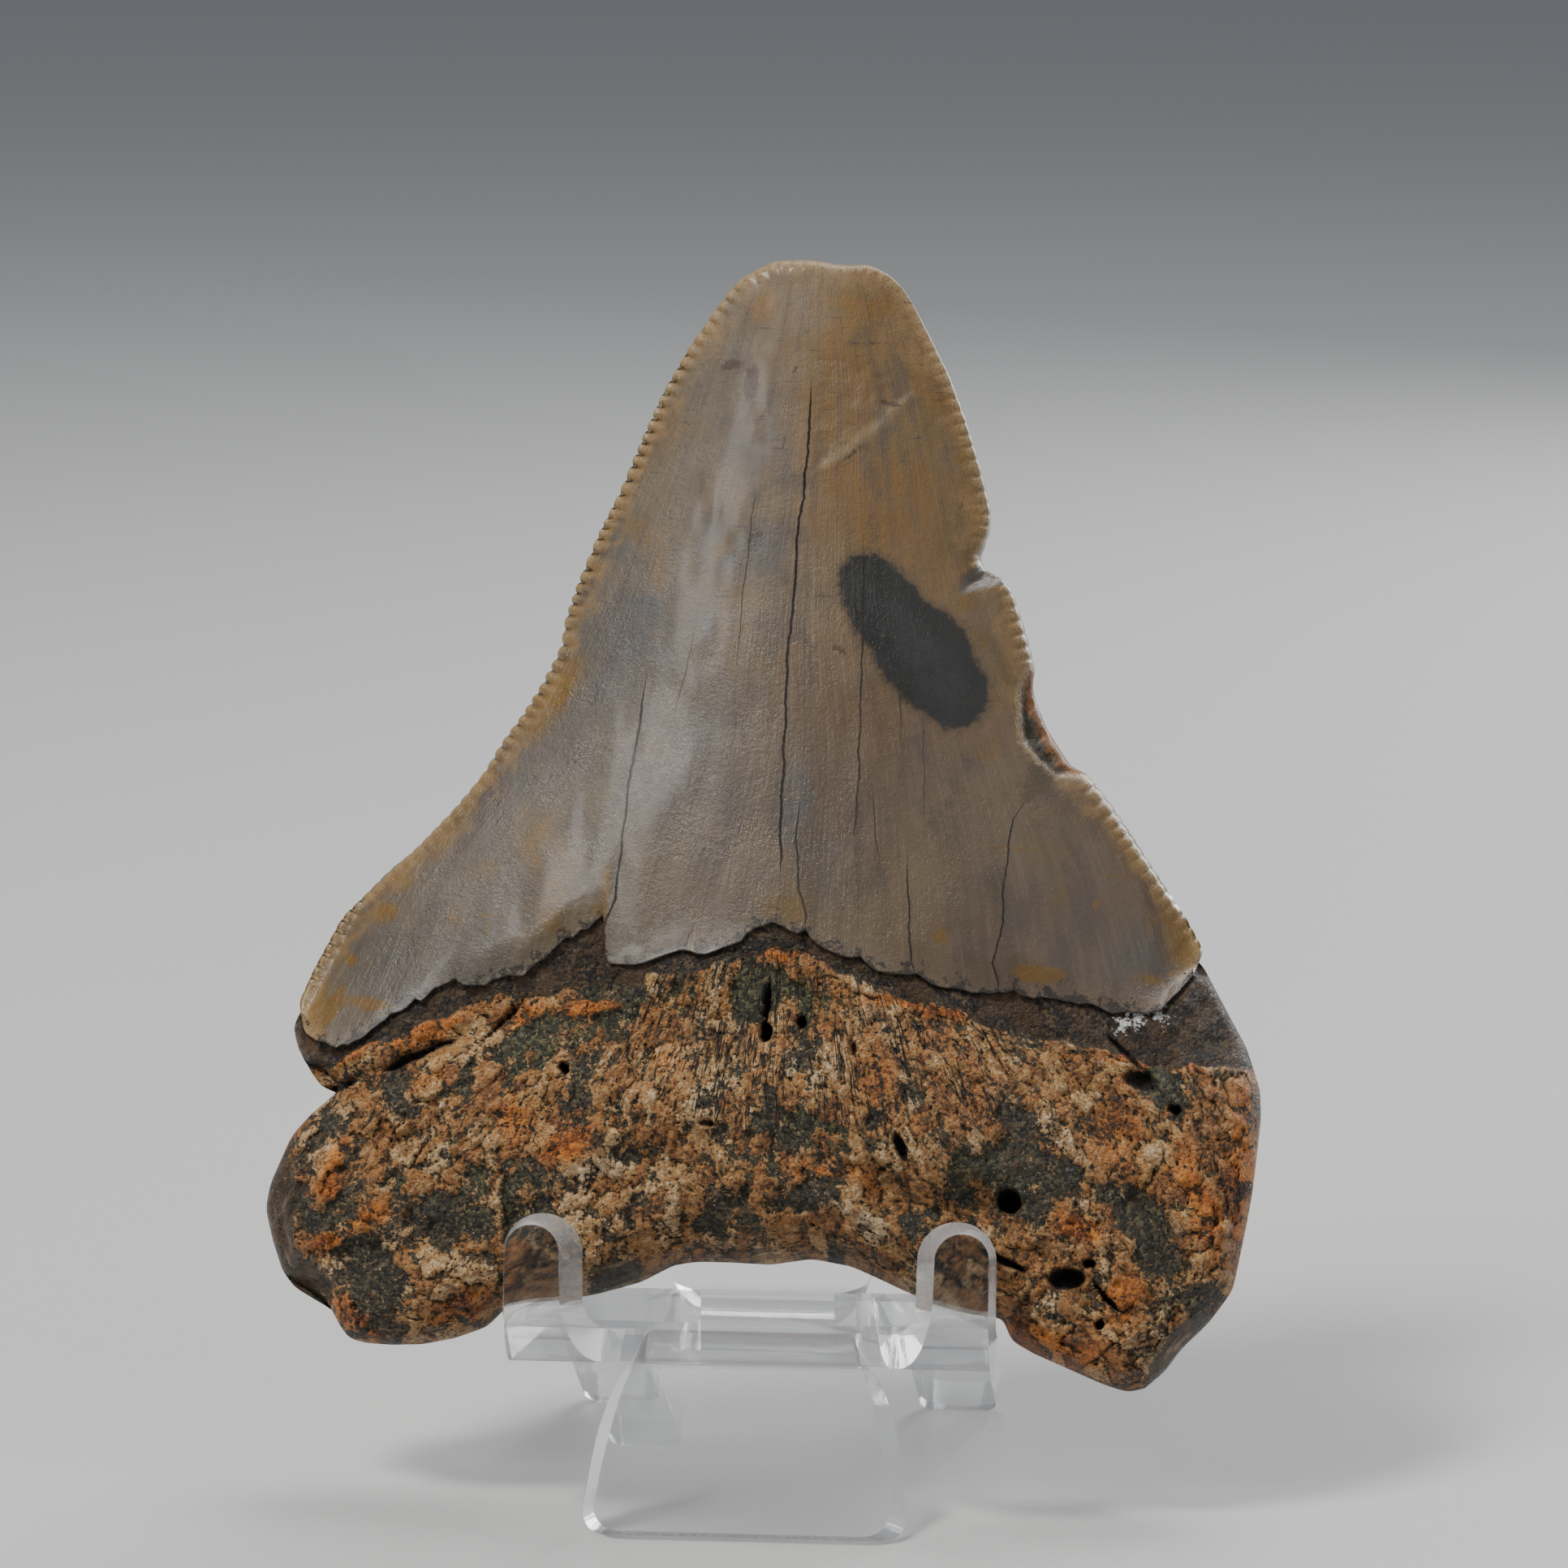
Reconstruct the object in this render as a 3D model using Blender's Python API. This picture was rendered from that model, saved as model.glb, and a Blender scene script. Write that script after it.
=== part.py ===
"""A megalodon tooth standing in a small clear easel.

The tooth is one natural solid: a flat triangular crown, a dark recessed band below its enamel, and a
thick pitted root with two lobes. The easel is one sheet of acrylic, cut with four slots and bent: a
shelf, two prongs in front, a backrest behind, and a front foot and two rear legs that reach the table.

Lengths below are millimetres. x runs to the right, +Z is up and the tooth's root face looks along -Y.
The origin is on the table, under the middle of the whole object.
"""

import math

import bmesh
import bpy
import numpy as np
from mathutils import Vector
from mathutils.geometry import delaunay_2d_cdt

MM = 0.001

# The easel
SHEET = 2.5
SHELF_TOP = 13.8
SHELF_MIDDLE = -6.6
FRONT_FOLD = 5.8
REAR_FOLD = 6.4
EASEL_WIDTH = 36.4
REAR_WIDTH = 33.0
PRONG_RISE = 9.0
PRONG_WIDTH = 5.8
PRONG_TURN = math.radians(99)
PRONG_BEND = 3.2
FOOT_TURN = math.radians(64)
LEG_TURN = math.radians(31)
BACK_TURN = math.radians(80)
FOLD_BEND = 2.0
BACK_HEIGHT = 30.0
BACK_WIDTH = 19.2
FOOT_WIDTH = 24.2
FLAT_OF_FOOT = 0.4

# The tooth, in its own frame: x right, s up along its back, d forwards from its back. Its back is
# TOOTH_BACK behind the shelf's middle at the shelf's level.
TOOTH_LEAN = math.radians(14)
TOOTH_BACK = 4.7
CROWN_RIM = 2.5
ROOT_RIM = 6.2
CROWN_SPACING = 2.3
ROOT_SPACING = 1.12
REAR_SPACING = 2.9
RIM_GAPS = (0.45, 1.5)
ON_RIM = 1e-3
LEDGE_DROP = 0.6
LEDGE_WIDTH = 0.3
BAND_FADE = 0.9
CROWN_FULLNESS = 0.85
CROWN_EDGE = 2.6
ROOT_PLATEAU = 6.3
ROOT_END_DROP = 2.6
ROOT_HALF = 32.0
ROOT_ROUND = 5.0
BULGE = 4.2
BULGE_LEVEL = 15.0
BULGE_HALF_WIDTH = 17.0
BULGE_HALF_HEIGHT = 8.5
REAR_SWELL = 2.3
REAR_FULLNESS = 0.8
REAR_EDGE = 1.4
REAR_GAP = 0.5
REAR_ROUND = 4.5

TIP = [(-2.3, 77.3), (-0.6, 78.3), (1.9, 78.2), (4.4, 77.8), (6.3, 77.9), (8.1, 76.9)]
RIGHT_EDGE = [
    (9.7, 74.9), (11.0, 72.5), (12.6, 69.4), (13.9, 66.1), (15.0, 62.7), (15.9, 59.3), (15.9, 57.8),
    (15.2, 55.7), (15.5, 54.9), (17.0, 54.2), (17.7, 53.2), (18.7, 50.3), (19.5, 47.5), (19.3, 46.3),
    (19.5, 45.2), (20.5, 42.9), (22.3, 40.2), (23.6, 39.6), (25.1, 37.8), (27.0, 35.1), (29.2, 31.8),
    (31.1, 29.1), (32.5, 26.8),
]
RIGHT_ROOT = [
    (32.4, 25.6), (33.7, 23.2), (35.9, 19.3), (37.0, 16.1), (37.1, 14.0), (36.9, 11.6), (36.6, 8.5),
    (36.2, 6.1), (35.3, 1.3), (33.6, -1.1), (31.5, -3.2), (30.4, -4.8), (28.9, -6.1), (27.7, -6.4),
    (25.9, -5.9), (23.5, -4.9), (20.6, -3.7),
]
ARCH = [
    (19.0, -2.8), (18.3, -1.2), (15.8, -0.9), (13.1, -0.2), (10.7, 0.8), (8.9, 1.6), (7.0, 2.4), (4.0, 2.9),
    (1.0, 2.4), (-2.1, 2.5), (-4.5, 2.5), (-6.3, 2.2), (-8.7, 0.9), (-11.7, 0.0), (-14.1, -0.5),
    (-17.4, -0.8), (-18.9, -1.3),
]
LEFT_ROOT = [
    (-20.2, -2.7), (-22.6, -3.6), (-25.0, -4.1), (-27.3, -4.2), (-29.3, -4.1), (-30.5, -3.8), (-31.2, -2.9),
    (-32.1, -1.3), (-33.1, -0.5), (-35.6, 0.9), (-36.5, 3.4), (-37.1, 5.8), (-36.8, 7.6), (-35.3, 11.3),
    (-33.8, 13.1), (-31.8, 15.0), (-32.3, 15.7), (-34.6, 16.7), (-35.8, 19.5),
]
LEFT_EDGE = [
    (-35.8, 21.0), (-34.5, 24.0), (-32.5, 27.9), (-30.8, 29.6), (-29.0, 31.5), (-27.1, 33.1), (-24.4, 36.0),
    (-22.2, 38.7), (-20.7, 41.4), (-19.3, 43.3), (-17.8, 45.8), (-16.3, 48.6), (-16.3, 50.6), (-15.3, 53.4),
    (-13.7, 57.4), (-12.2, 60.5), (-10.5, 64.9), (-9.0, 68.3), (-7.1, 71.7), (-4.9, 74.9), (-3.3, 76.8),
]
OUTLINE = np.array(TIP + RIGHT_EDGE + RIGHT_ROOT + ARCH + LEFT_ROOT + LEFT_EDGE)
# The crown's two edges as they were before wear, from the root up
CROWN_LEFT = np.array([
    (-36.5, 17.0), (-30.0, 31.0), (-21.8, 40.0), (-16.8, 49.5), (-12.0, 60.5), (-7.0, 72.0), (-3.2, 79.0),
])
CROWN_RIGHT = np.array([
    (35.0, 17.0), (30.0, 32.0), (24.5, 40.5), (19.8, 49.0), (16.6, 58.0), (13.9, 67.0), (7.8, 79.0),
])

# The lower edge of the enamel on the root side, from left to right, and of the dark band under it
ENAMEL = np.array([
    (-33.4, 18.3), (-31.0, 18.3), (-28.6, 19.8), (-25.0, 21.8), (-21.0, 22.9), (-17.8, 23.6),
    (-14.6, 26.0), (-12.0, 27.4), (-11.3, 24.4), (-8.4, 24.5), (-5.4, 25.4), (-2.7, 25.6), (-0.8, 27.0),
    (1.4, 27.4), (3.5, 26.8), (5.6, 25.3), (8.6, 24.3), (11.2, 24.0), (14.0, 23.1), (18.7, 23.0),
    (22.5, 22.2), (26.5, 21.6), (29.4, 21.9), (31.2, 24.2),
])
BAND = np.array([
    (-33.5, 15.9), (-30.5, 17.0), (-27.5, 18.2), (-25.0, 19.4), (-20.9, 21.1), (-14.2, 22.3), (-9.4, 22.8),
    (-6.4, 23.8), (-2.2, 24.5), (0.8, 25.3), (3.8, 25.0), (7.5, 23.7), (10.5, 22.0), (14.1, 21.5),
    (18.4, 19.7), (24.4, 19.0), (29.0, 17.8), (33.0, 17.2),
])
REAR_ENAMEL = np.array([
    (-34.8, 18.3), (-25.0, 17.8), (-12.0, 19.4), (0.0, 20.4), (12.0, 20.0), (25.0, 21.6), (33.0, 25.6),
])

# Height of the crown's middle over its rim on the root side: s and height
CROWN_HEIGHTS = [(20, 11.2), (30, 10.2), (40, 8.8), (50, 7.1), (60, 5.4), (70, 3.6), (76, 2.3), (79, 1.6)]

# Nutrient holes and worm pits of the root: x, s, radius, depth
PITS = [
    (0.6, 19.6, 0.75, 2.2), (3.1, 20.4, 0.5, 1.4), (-14.2, 16.6, 0.55, 1.2), (18.9, 7.5, 0.95, 3.0),
    (10.8, 11.5, 0.7, 1.2), (23.2, 1.9, 1.1, 1.8), (25.8, -1.4, 0.5, 1.2), (-28.3, 0.4, 1.3, 0.9),
]
# Shallow valleys across the root: the points of each, and its half width and depth
VALLEYS = [
    ([(-17.0, 5.5), (-7.0, 9.5), (-0.5, 12.5), (4.5, 10.0), (11.5, 7.5), (17.0, 7.5)], 1.7, 0.9),
    ([(17.0, 7.5), (21.0, 3.5), (27.0, -1.0)], 1.5, 0.8),
    ([(-33.0, 14.0), (-24.0, 18.0), (-18.0, 20.6)], 1.0, 0.9),
    ([(19.5, 20.5), (24.5, 15.5), (29.0, 9.5), (31.0, 3.0)], 1.2, 0.7),
    ([(-30.5, 2.5), (-24.0, 4.0), (-17.0, 2.0)], 1.4, 0.7),
]
# A chip and a break in the crown's right edge: the points of each, and its half width and depth
DAMAGE = [
    ([(15.0, 55.6), (17.0, 54.6)], 1.5, 0.8),
    ([(19.0, 46.8), (20.6, 42.6), (23.6, 39.3)], 1.5, 1.1),
]


def clear_scene():
    for found in list(bpy.data.objects):
        bpy.data.objects.remove(found, do_unlink=True)


def principled(name, colour, roughness, **values):
    material = bpy.data.materials.new(name)
    material.use_nodes = True
    shader = material.node_tree.nodes["Principled BSDF"]
    shader.inputs["Base Color"].default_value = (*colour, 1.0)
    shader.inputs["Roughness"].default_value = roughness
    for label, value in values.items():
        shader.inputs[label.replace("_", " ")].default_value = value
    return material


def new_object(name, mesh_data, material):
    mesh = bpy.data.meshes.new(name)
    mesh_data.to_mesh(mesh)
    mesh_data.free()
    mesh.materials.append(material)
    made = bpy.data.objects.new(name, mesh)
    bpy.context.scene.collection.objects.link(made)
    return made


def smooth_step(value):
    clipped = np.clip(value, 0.0, 1.0)
    return clipped * clipped * (3.0 - 2.0 * clipped)


def distance_to(points, line):
    """The distance in mm from each point to a line of straight runs."""
    nearest = np.full(len(points), np.inf)
    for start, end in zip(line[:-1], line[1:]):
        run = end - start
        along = np.clip((points - start) @ run / (run @ run), 0.0, 1.0)
        gap = points - start - along[:, None] * run
        nearest = np.minimum(nearest, np.hypot(gap[:, 0], gap[:, 1]))
    return nearest


def lumps(points, size, seed):
    """Smooth noise between -1 and 1, from a seeded lattice of the given size in mm."""
    lattice = np.random.default_rng(seed).uniform(-1.0, 1.0, (64, 64))
    cell = points / size + 20.0
    corner = np.floor(cell).astype(int)
    part = smooth_step(cell - corner)
    column, row = corner[:, 0] % 63, corner[:, 1] % 63
    low = lattice[column, row] * (1 - part[:, 0]) + lattice[column + 1, row] * part[:, 0]
    high = lattice[column, row + 1] * (1 - part[:, 0]) + lattice[column + 1, row + 1] * part[:, 0]
    return low * (1 - part[:, 1]) + high * part[:, 1]


def level(line, x):
    """The height of a line that runs from left to right, at each x."""
    return np.interp(x, line[:, 0], line[:, 1])


def across_crown(points):
    """0 at the crown's two cutting edges and 1 midway between them."""
    left = np.interp(points[:, 1], CROWN_LEFT[:, 1], CROWN_LEFT[:, 0])
    right = np.interp(points[:, 1], CROWN_RIGHT[:, 1], CROWN_RIGHT[:, 0])
    side = (2 * points[:, 0] - left - right) / (right - left)
    return np.clip(1.0 - side * side, 0.0, 1.0)


def rounded(distance, radius):
    """A quarter circle up from the rim, then level."""
    reach = 1.0 - np.clip(distance / radius, 0.0, 1.0)
    return np.sqrt(1.0 - reach * reach)


def rim_depth(points):
    """Where front and back meet: near the back on the crown, in mid thickness on the root."""
    rise = smooth_step((points[:, 1] - 8.0) / 18.0)
    return ROOT_RIM + (CROWN_RIM - ROOT_RIM) * rise


def sunk_along(points, hollows):
    """How deep the points lie in soft hollows that follow lines, given as (points, half width, depth)."""
    total = np.zeros(len(points))
    for line, half, depth in hollows:
        total += depth * np.exp(-((distance_to(points, np.array(line)) / half) ** 2))
    return total


def crown_front(points, edge):
    swell = np.interp(points[:, 1], *zip(*CROWN_HEIGHTS))
    height = np.minimum(swell * across_crown(points) ** CROWN_FULLNESS, CROWN_EDGE * np.sqrt(edge))
    height -= sunk_along(points, DAMAGE) * smooth_step(edge)
    return np.maximum(height, 0.25 * np.minimum(edge, 1.0))


def root_front(points, edge):
    x, s = points.T
    plateau = ROOT_PLATEAU - ROOT_END_DROP * (x / ROOT_HALF) ** 2
    bulge = BULGE * np.exp(-((x / BULGE_HALF_WIDTH) ** 2) - ((s - BULGE_LEVEL) / BULGE_HALF_HEIGHT) ** 2)
    height = (plateau + bulge) * rounded(edge, ROOT_ROUND)
    uneven = 0.55 * lumps(points, 5.2, 3) + 0.45 * lumps(points, 2.6, 4) - sunk_along(points, VALLEYS)
    height += smooth_step(edge / 3.0) * uneven
    for x_pit, s_pit, radius, depth in PITS:
        away = np.hypot(x - x_pit, s - s_pit)
        height -= depth * smooth_step((radius - away) / (0.45 * radius))
    return np.maximum(height, 0.3 * np.minimum(edge, 1.0))


def front_depth(points):
    """Depth of the root side: crown above the enamel's edge, a sunk band under it, then the root."""
    edge = distance_to(points, np.vstack([OUTLINE, OUTLINE[:1]]))
    edge = np.where(edge < ON_RIM, 0.0, edge)
    above = points[:, 1] - level(ENAMEL, points[:, 0])
    below = level(BAND, points[:, 0]) - points[:, 1]
    blend = smooth_step((above + 1.0) / 4.0)
    height = root_front(points, edge) * (1 - blend) + crown_front(points, edge) * blend
    sunk = (1 - smooth_step(above / LEDGE_WIDTH + 1.0)) * (1 - smooth_step(below / BAND_FADE))
    return rim_depth(points) + np.maximum(height - LEDGE_DROP * sunk * smooth_step(edge), 0.0)


def back_depth(points):
    """Depth of the nearly flat side, which leans on the backrest."""
    edge = distance_to(points, np.vstack([OUTLINE, OUTLINE[:1]]))
    edge = np.where(edge < ON_RIM, 0.0, edge)
    rim = rim_depth(points)
    above = points[:, 1] - level(REAR_ENAMEL, points[:, 0])
    crown = np.minimum(REAR_SWELL * across_crown(points) ** REAR_FULLNESS, REAR_EDGE * np.sqrt(edge))
    uneven = 0.3 * lumps(points, 4.0, 9) + 0.3
    root = (rim - REAR_GAP) * rounded(edge, REAR_ROUND) - smooth_step(edge / 3.0) * uneven
    blend = smooth_step((above + 1.0) / 3.0)
    return rim - np.maximum(root * (1 - blend) + crown * blend, 0.0)


def hex_points(spacing, low, high):
    """A honeycomb of points inside the outline, with low(x) < s < high(x)."""
    rows = np.arange(-8.0, 80.0, spacing * math.sqrt(0.75))
    found = []
    for number, s in enumerate(rows):
        x = np.arange(-39.0, 39.0, spacing) + (number % 2) * spacing / 2
        found.append(np.column_stack([x, np.full(len(x), s)]))
    points = np.vstack(found)
    points = points[(points[:, 1] > low(points[:, 0])) & (points[:, 1] < high(points[:, 0]))]
    inside = np.zeros(len(points), bool)
    for (x0, s0), (x1, s1) in zip(OUTLINE, np.roll(OUTLINE, -1, axis=0)):
        if s0 != s1:
            crosses = (s0 > points[:, 1]) != (s1 > points[:, 1])
            inside ^= crosses & (points[:, 0] < (x1 - x0) * (points[:, 1] - s0) / (s1 - s0) + x0)
    points = points[inside]
    return points[distance_to(points, np.vstack([OUTLINE, OUTLINE[:1]])) > 0.42 * spacing]


def ring(x, s, radius, sides=8):
    turn = np.linspace(0.0, 2 * math.pi, sides, endpoint=False)
    return np.column_stack([x + radius * np.cos(turn), s + radius * np.sin(turn)])


def triangulate(points, lines):
    """Triangles over the outline and the given points, with every line kept as edges."""
    sites = [Vector(point) for point in OUTLINE]
    edges = []
    for line in lines:
        first = len(sites)
        sites += [Vector(point) for point in line]
        edges += [(first + step, first + step + 1) for step in range(len(line) - 1)]
    sites += [Vector(point) for point in points]
    result = delaunay_2d_cdt(sites, edges, [list(range(len(OUTLINE)))], 1, 1e-5)
    return np.array([tuple(site) for site in result[0]]), result[2]


def fine_outline(longest=2.2):
    """The outline with its long runs cut up, so that the rim's triangles stay even."""
    points = []
    for start, end in zip(OUTLINE, np.roll(OUTLINE, -1, axis=0)):
        steps = max(1, math.ceil(np.hypot(*(end - start)) / longest))
        points += [start + (end - start) * step / steps for step in range(steps)]
    return np.array(points)


def rim_points(gap):
    """Points a little inside the root's part of the outline, so that its edge is turned evenly."""
    run = np.roll(OUTLINE, -1, axis=0) - np.roll(OUTLINE, 1, axis=0)
    inward = np.column_stack([run[:, 1], -run[:, 0]]) / np.hypot(run[:, 0], run[:, 1])[:, None]
    points = OUTLINE + gap * inward
    edge = distance_to(points, np.vstack([OUTLINE, OUTLINE[:1]]))
    return points[(edge > 0.8 * gap) & (points[:, 1] < 24.0)]


def front_sites():
    ledge_foot = ENAMEL - (0.0, LEDGE_WIDTH)
    crown = hex_points(CROWN_SPACING, lambda x: level(ENAMEL, x) + 0.7, lambda x: 99.0)
    root = hex_points(ROOT_SPACING, lambda x: -99.0, lambda x: level(ENAMEL, x) - LEDGE_WIDTH - 0.45)
    turned = [rim_points(gap) for gap in RIM_GAPS]
    root = root[distance_to(root, np.vstack([OUTLINE, OUTLINE[:1]])) > RIM_GAPS[-1] + 0.7]
    points = np.vstack([crown, root, *turned])
    points = points[distance_to(points, ledge_foot) > 0.25]
    holes = []
    for x, s, radius, _ in PITS:
        points = points[np.hypot(points[:, 0] - x, points[:, 1] - s) > radius + 0.5]
        holes += [ring(x, s, radius), ring(x, s, 0.5 * radius)]
    return np.vstack([points, *holes]), [ENAMEL, ledge_foot]


def rear_sites():
    middle = hex_points(REAR_SPACING, lambda x: -99.0, lambda x: 99.0)
    low = middle[:, 1] < 24.0
    near = distance_to(middle, np.vstack([OUTLINE, OUTLINE[:1]])) < RIM_GAPS[-1] + 1.0
    turned = [rim_points(gap) for gap in RIM_GAPS]
    return np.vstack([middle[~(low & near)], *turned]), []


def tooth_frame(points, depth):
    """World metres of points given by x, s and d."""
    x, s = points.T
    y = SHELF_MIDDLE + TOOTH_BACK + s * math.sin(TOOTH_LEAN) - depth * math.cos(TOOTH_LEAN)
    z = SHELF_TOP + s * math.cos(TOOTH_LEAN) + depth * math.sin(TOOTH_LEAN)
    return np.column_stack([x, y, z]) * MM


def make_tooth():
    shell = bmesh.new()
    for sites, depth_of, facing in ((front_sites(), front_depth, 1), (rear_sites(), back_depth, -1)):
        points, faces = triangulate(*sites)
        verts = [shell.verts.new(place) for place in tooth_frame(points, depth_of(points))]
        for face in faces:
            shell.faces.new([verts[index] for index in face][::facing])
    bmesh.ops.remove_doubles(shell, verts=shell.verts, dist=1e-6)
    bmesh.ops.recalc_face_normals(shell, faces=shell.faces)
    material = principled("fossil_tooth", (0.36, 0.24, 0.14), 0.5)
    return new_object("megalodon_tooth", shell, material)


def bent(distance, offset, fold, side, turn, radius):
    """Side view (y, z) of a sheet point past a fold: an arc, then straight. A negative turn goes down."""
    angle = np.clip(distance / radius, 0.0, abs(turn))
    straight = np.maximum(distance - radius * abs(turn), 0.0)
    up = math.copysign(1.0, turn)
    arm = radius - up * offset
    run = arm * np.sin(angle) + straight * np.cos(angle)
    rise = up * (radius - arm * np.cos(angle) + straight * np.sin(angle))
    return SHELF_MIDDLE + side * (fold + run), SHELF_TOP - SHEET / 2 + rise


def limb_rows(length, corner, arc, steps):
    """Distances from the fold to each row of a limb, and how far its rounded end draws in each side."""
    curve = np.linspace(0.0, arc, 6)
    straight = np.linspace(arc, length - corner, steps + 1)[1:]
    turn = np.linspace(0.0, math.pi / 2, 6)[1:]
    distance = np.concatenate([curve, straight, length - corner + corner * np.sin(turn)])
    inset = np.concatenate([np.zeros(6 + steps), corner * (1 - np.cos(turn))])
    return distance, inset


def limb_surface(spec, offset):
    """Rows of points (mm) over one face of a limb."""
    distance, inset = limb_rows(spec["length"], spec["corner"], spec["radius"] * abs(spec["turn"]), 6)
    inner = np.interp(distance, *zip(*spec["inner"])) + inset
    outer = np.interp(distance, *zip(*spec["outer"])) - inset
    y, z = bent(distance, offset, spec["fold"], spec["side"], spec["turn"], spec["radius"])
    share = np.linspace(0.0, 1.0, spec["columns"] + 1)
    x = inner[:, None] + (outer - inner)[:, None] * share
    return np.dstack([x, np.repeat(y[:, None], len(share), 1), np.repeat(z[:, None], len(share), 1)])


def limb(shell, upper, lower):
    """The two faces, two sides and the end of a limb whose first row is open to the shelf."""
    grids = [
        [[shell.verts.new(point * MM) for point in row] for row in surface] for surface in (upper, lower)
    ]
    quads_between(shell, grids[0])
    quads_between(shell, grids[1])
    for column in (0, -1):
        quads_between(shell, [[grid[row][column] for row in range(len(grid))] for grid in grids])
    quads_between(shell, [grid[-1] for grid in grids])
    return [grid[0] for grid in grids]


def quads_between(shell, rows):
    for near, far in zip(rows[:-1], rows[1:]):
        for index in range(len(near) - 1):
            shell.faces.new([near[index], near[index + 1], far[index + 1], far[index]])


def reach(drop, turn, radius):
    """The length of a limb that bends down and ends with its lower corner the given drop below."""
    arc_drop = radius * (1 - math.cos(turn))
    thickness = SHEET / 2 * math.cos(turn)
    return radius * turn + (drop - arc_drop - thickness) / math.sin(turn)


def limb_specs():
    """Front and rear limbs, right of the middle. Each edge is a list of distance from the fold and x."""
    half = EASEL_WIDTH / 2
    drop = SHELF_TOP - SHEET / 2 + FLAT_OF_FOOT
    foot = dict(fold=FRONT_FOLD, side=-1, turn=-FOOT_TURN, radius=FOLD_BEND, columns=6, corner=2.2)
    foot["length"] = reach(drop, FOOT_TURN, FOLD_BEND)
    toe = FOOT_WIDTH / 2
    foot_lower = [(0, 7.7), (1.2, 8.6), (2.5, 9.5), (4.5, 10.4), (6.9, 11.1), (9.4, 11.5), (14.3, toe)]
    foot_upper = [(0, 7.4), (1.2, 8.0), (2.5, 8.5), (4.5, 9.2), (6.9, 9.8), (9.4, 10.3), (14.3, 11.1)]
    prong = dict(fold=FRONT_FOLD, side=-1, turn=PRONG_TURN, radius=PRONG_BEND, columns=4)
    arc_rise = PRONG_BEND * (1 - math.cos(PRONG_TURN))
    straight = (PRONG_RISE + SHEET / 2 - arc_rise) / math.sin(PRONG_TURN)
    prong_length = PRONG_BEND * PRONG_TURN + straight
    inside = half - PRONG_WIDTH
    prong_upper = [(0, 9.2), (1, 10.2), (2, 11.0), (3.5, 11.8), (5.5, inside - 0.1), (12, inside)]
    prong_lower = [(0, 9.6), (1, 10.9), (2, 11.9), (3.5, 12.9), (5.5, inside + 1.3), (12, inside + 1.5)]
    back = dict(fold=REAR_FOLD, side=1, turn=BACK_TURN, radius=FOLD_BEND, columns=6, corner=3.0)
    back["length"] = FOLD_BEND * BACK_TURN + BACK_HEIGHT
    wide = BACK_WIDTH / 2
    back_upper = [(0, 4.9), (1, 6.1), (2.5, 7.4), (5, 8.3), (20, 9.3), (30, wide)]
    leg = dict(fold=REAR_FOLD, side=1, turn=-LEG_TURN, radius=FOLD_BEND, columns=4, corner=2.6)
    leg["length"] = reach(drop, LEG_TURN, FOLD_BEND)
    leg_upper = [(0, 6.5), (1, 7.8), (2.5, 9.2), (5, 10.0), (18, 10.2)]
    across = REAR_WIDTH / 2
    return {
        "foot": (
            foot | dict(inner=mirrored(foot_upper), outer=foot_upper),
            foot | dict(inner=mirrored(foot_lower), outer=foot_lower),
        ),
        "prong": (
            prong | dict(length=prong_length, corner=2.85, inner=prong_upper, outer=[(0, half)]),
            prong | dict(length=prong_length - 0.7, corner=1.9, inner=prong_lower, outer=[(0, half - 0.4)]),
        ),
        "back": (
            back | dict(inner=mirrored(back_upper), outer=back_upper),
            back | dict(inner=mirrored(back_upper), outer=back_upper),
        ),
        "leg": (
            leg | dict(inner=leg_upper, outer=[(0, across)]),
            leg | dict(inner=leg_upper, outer=[(0, across - 0.4)]),
        ),
    }


def mirrored(edge):
    return [(distance, -x) for distance, x in edge]


def make_easel():
    shell = bmesh.new()
    first_rows = {}
    for name, (upper, lower) in limb_specs().items():
        surfaces = [limb_surface(upper, SHEET / 2), limb_surface(lower, -SHEET / 2)]
        first_rows[name] = limb(shell, *surfaces)
        if name in ("prong", "leg"):
            flipped = [surface[:, ::-1] * (-1, 1, 1) for surface in surfaces]
            first_rows["left_" + name] = limb(shell, *flipped)
    front, rear = (
        [first_rows[left][face] + first_rows[middle][face] + first_rows[right][face] for face in (0, 1)]
        for left, middle, right in (("left_prong", "foot", "prong"), ("left_leg", "back", "leg"))
    )
    for face in (0, 1):
        quads_between(shell, [front[face], rear[face]])
    for column in (0, -1):
        quads_between(shell, [[front[0][column], rear[0][column]], [front[1][column], rear[1][column]]])
    side_columns = len(first_rows["prong"][0])
    middle_columns = len(first_rows["foot"][0])
    for row in (front, rear):
        for slot in (side_columns - 1, side_columns + middle_columns - 1):
            quads_between(shell, [row[0][slot : slot + 2], row[1][slot : slot + 2]])
    bmesh.ops.recalc_face_normals(shell, faces=shell.faces)
    everything = shell.verts[:] + shell.edges[:] + shell.faces[:]
    cut = bmesh.ops.bisect_plane(
        shell, geom=everything, dist=1e-7, plane_co=(0, 0, 0), plane_no=(0, 0, -1), clear_outer=True
    )
    rims = [item for item in cut["geom_cut"] if isinstance(item, bmesh.types.BMEdge)]
    bmesh.ops.edgeloop_fill(shell, edges=rims)
    bmesh.ops.recalc_face_normals(shell, faces=shell.faces)
    material = principled("clear_acrylic", (0.93, 0.96, 0.97), 0.03, Transmission_Weight=1.0, IOR=1.49)
    return new_object("acrylic_stand", shell, material)


clear_scene()
OUTLINE = fine_outline()
make_tooth()
make_easel()
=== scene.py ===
"""The look of a fossil shark tooth that stands in a clear bent easel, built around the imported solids.

Sizes are millimetres in the tooth's own frame: x to the right, s up its leaning back, d forward from it.
"""

import math

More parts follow.
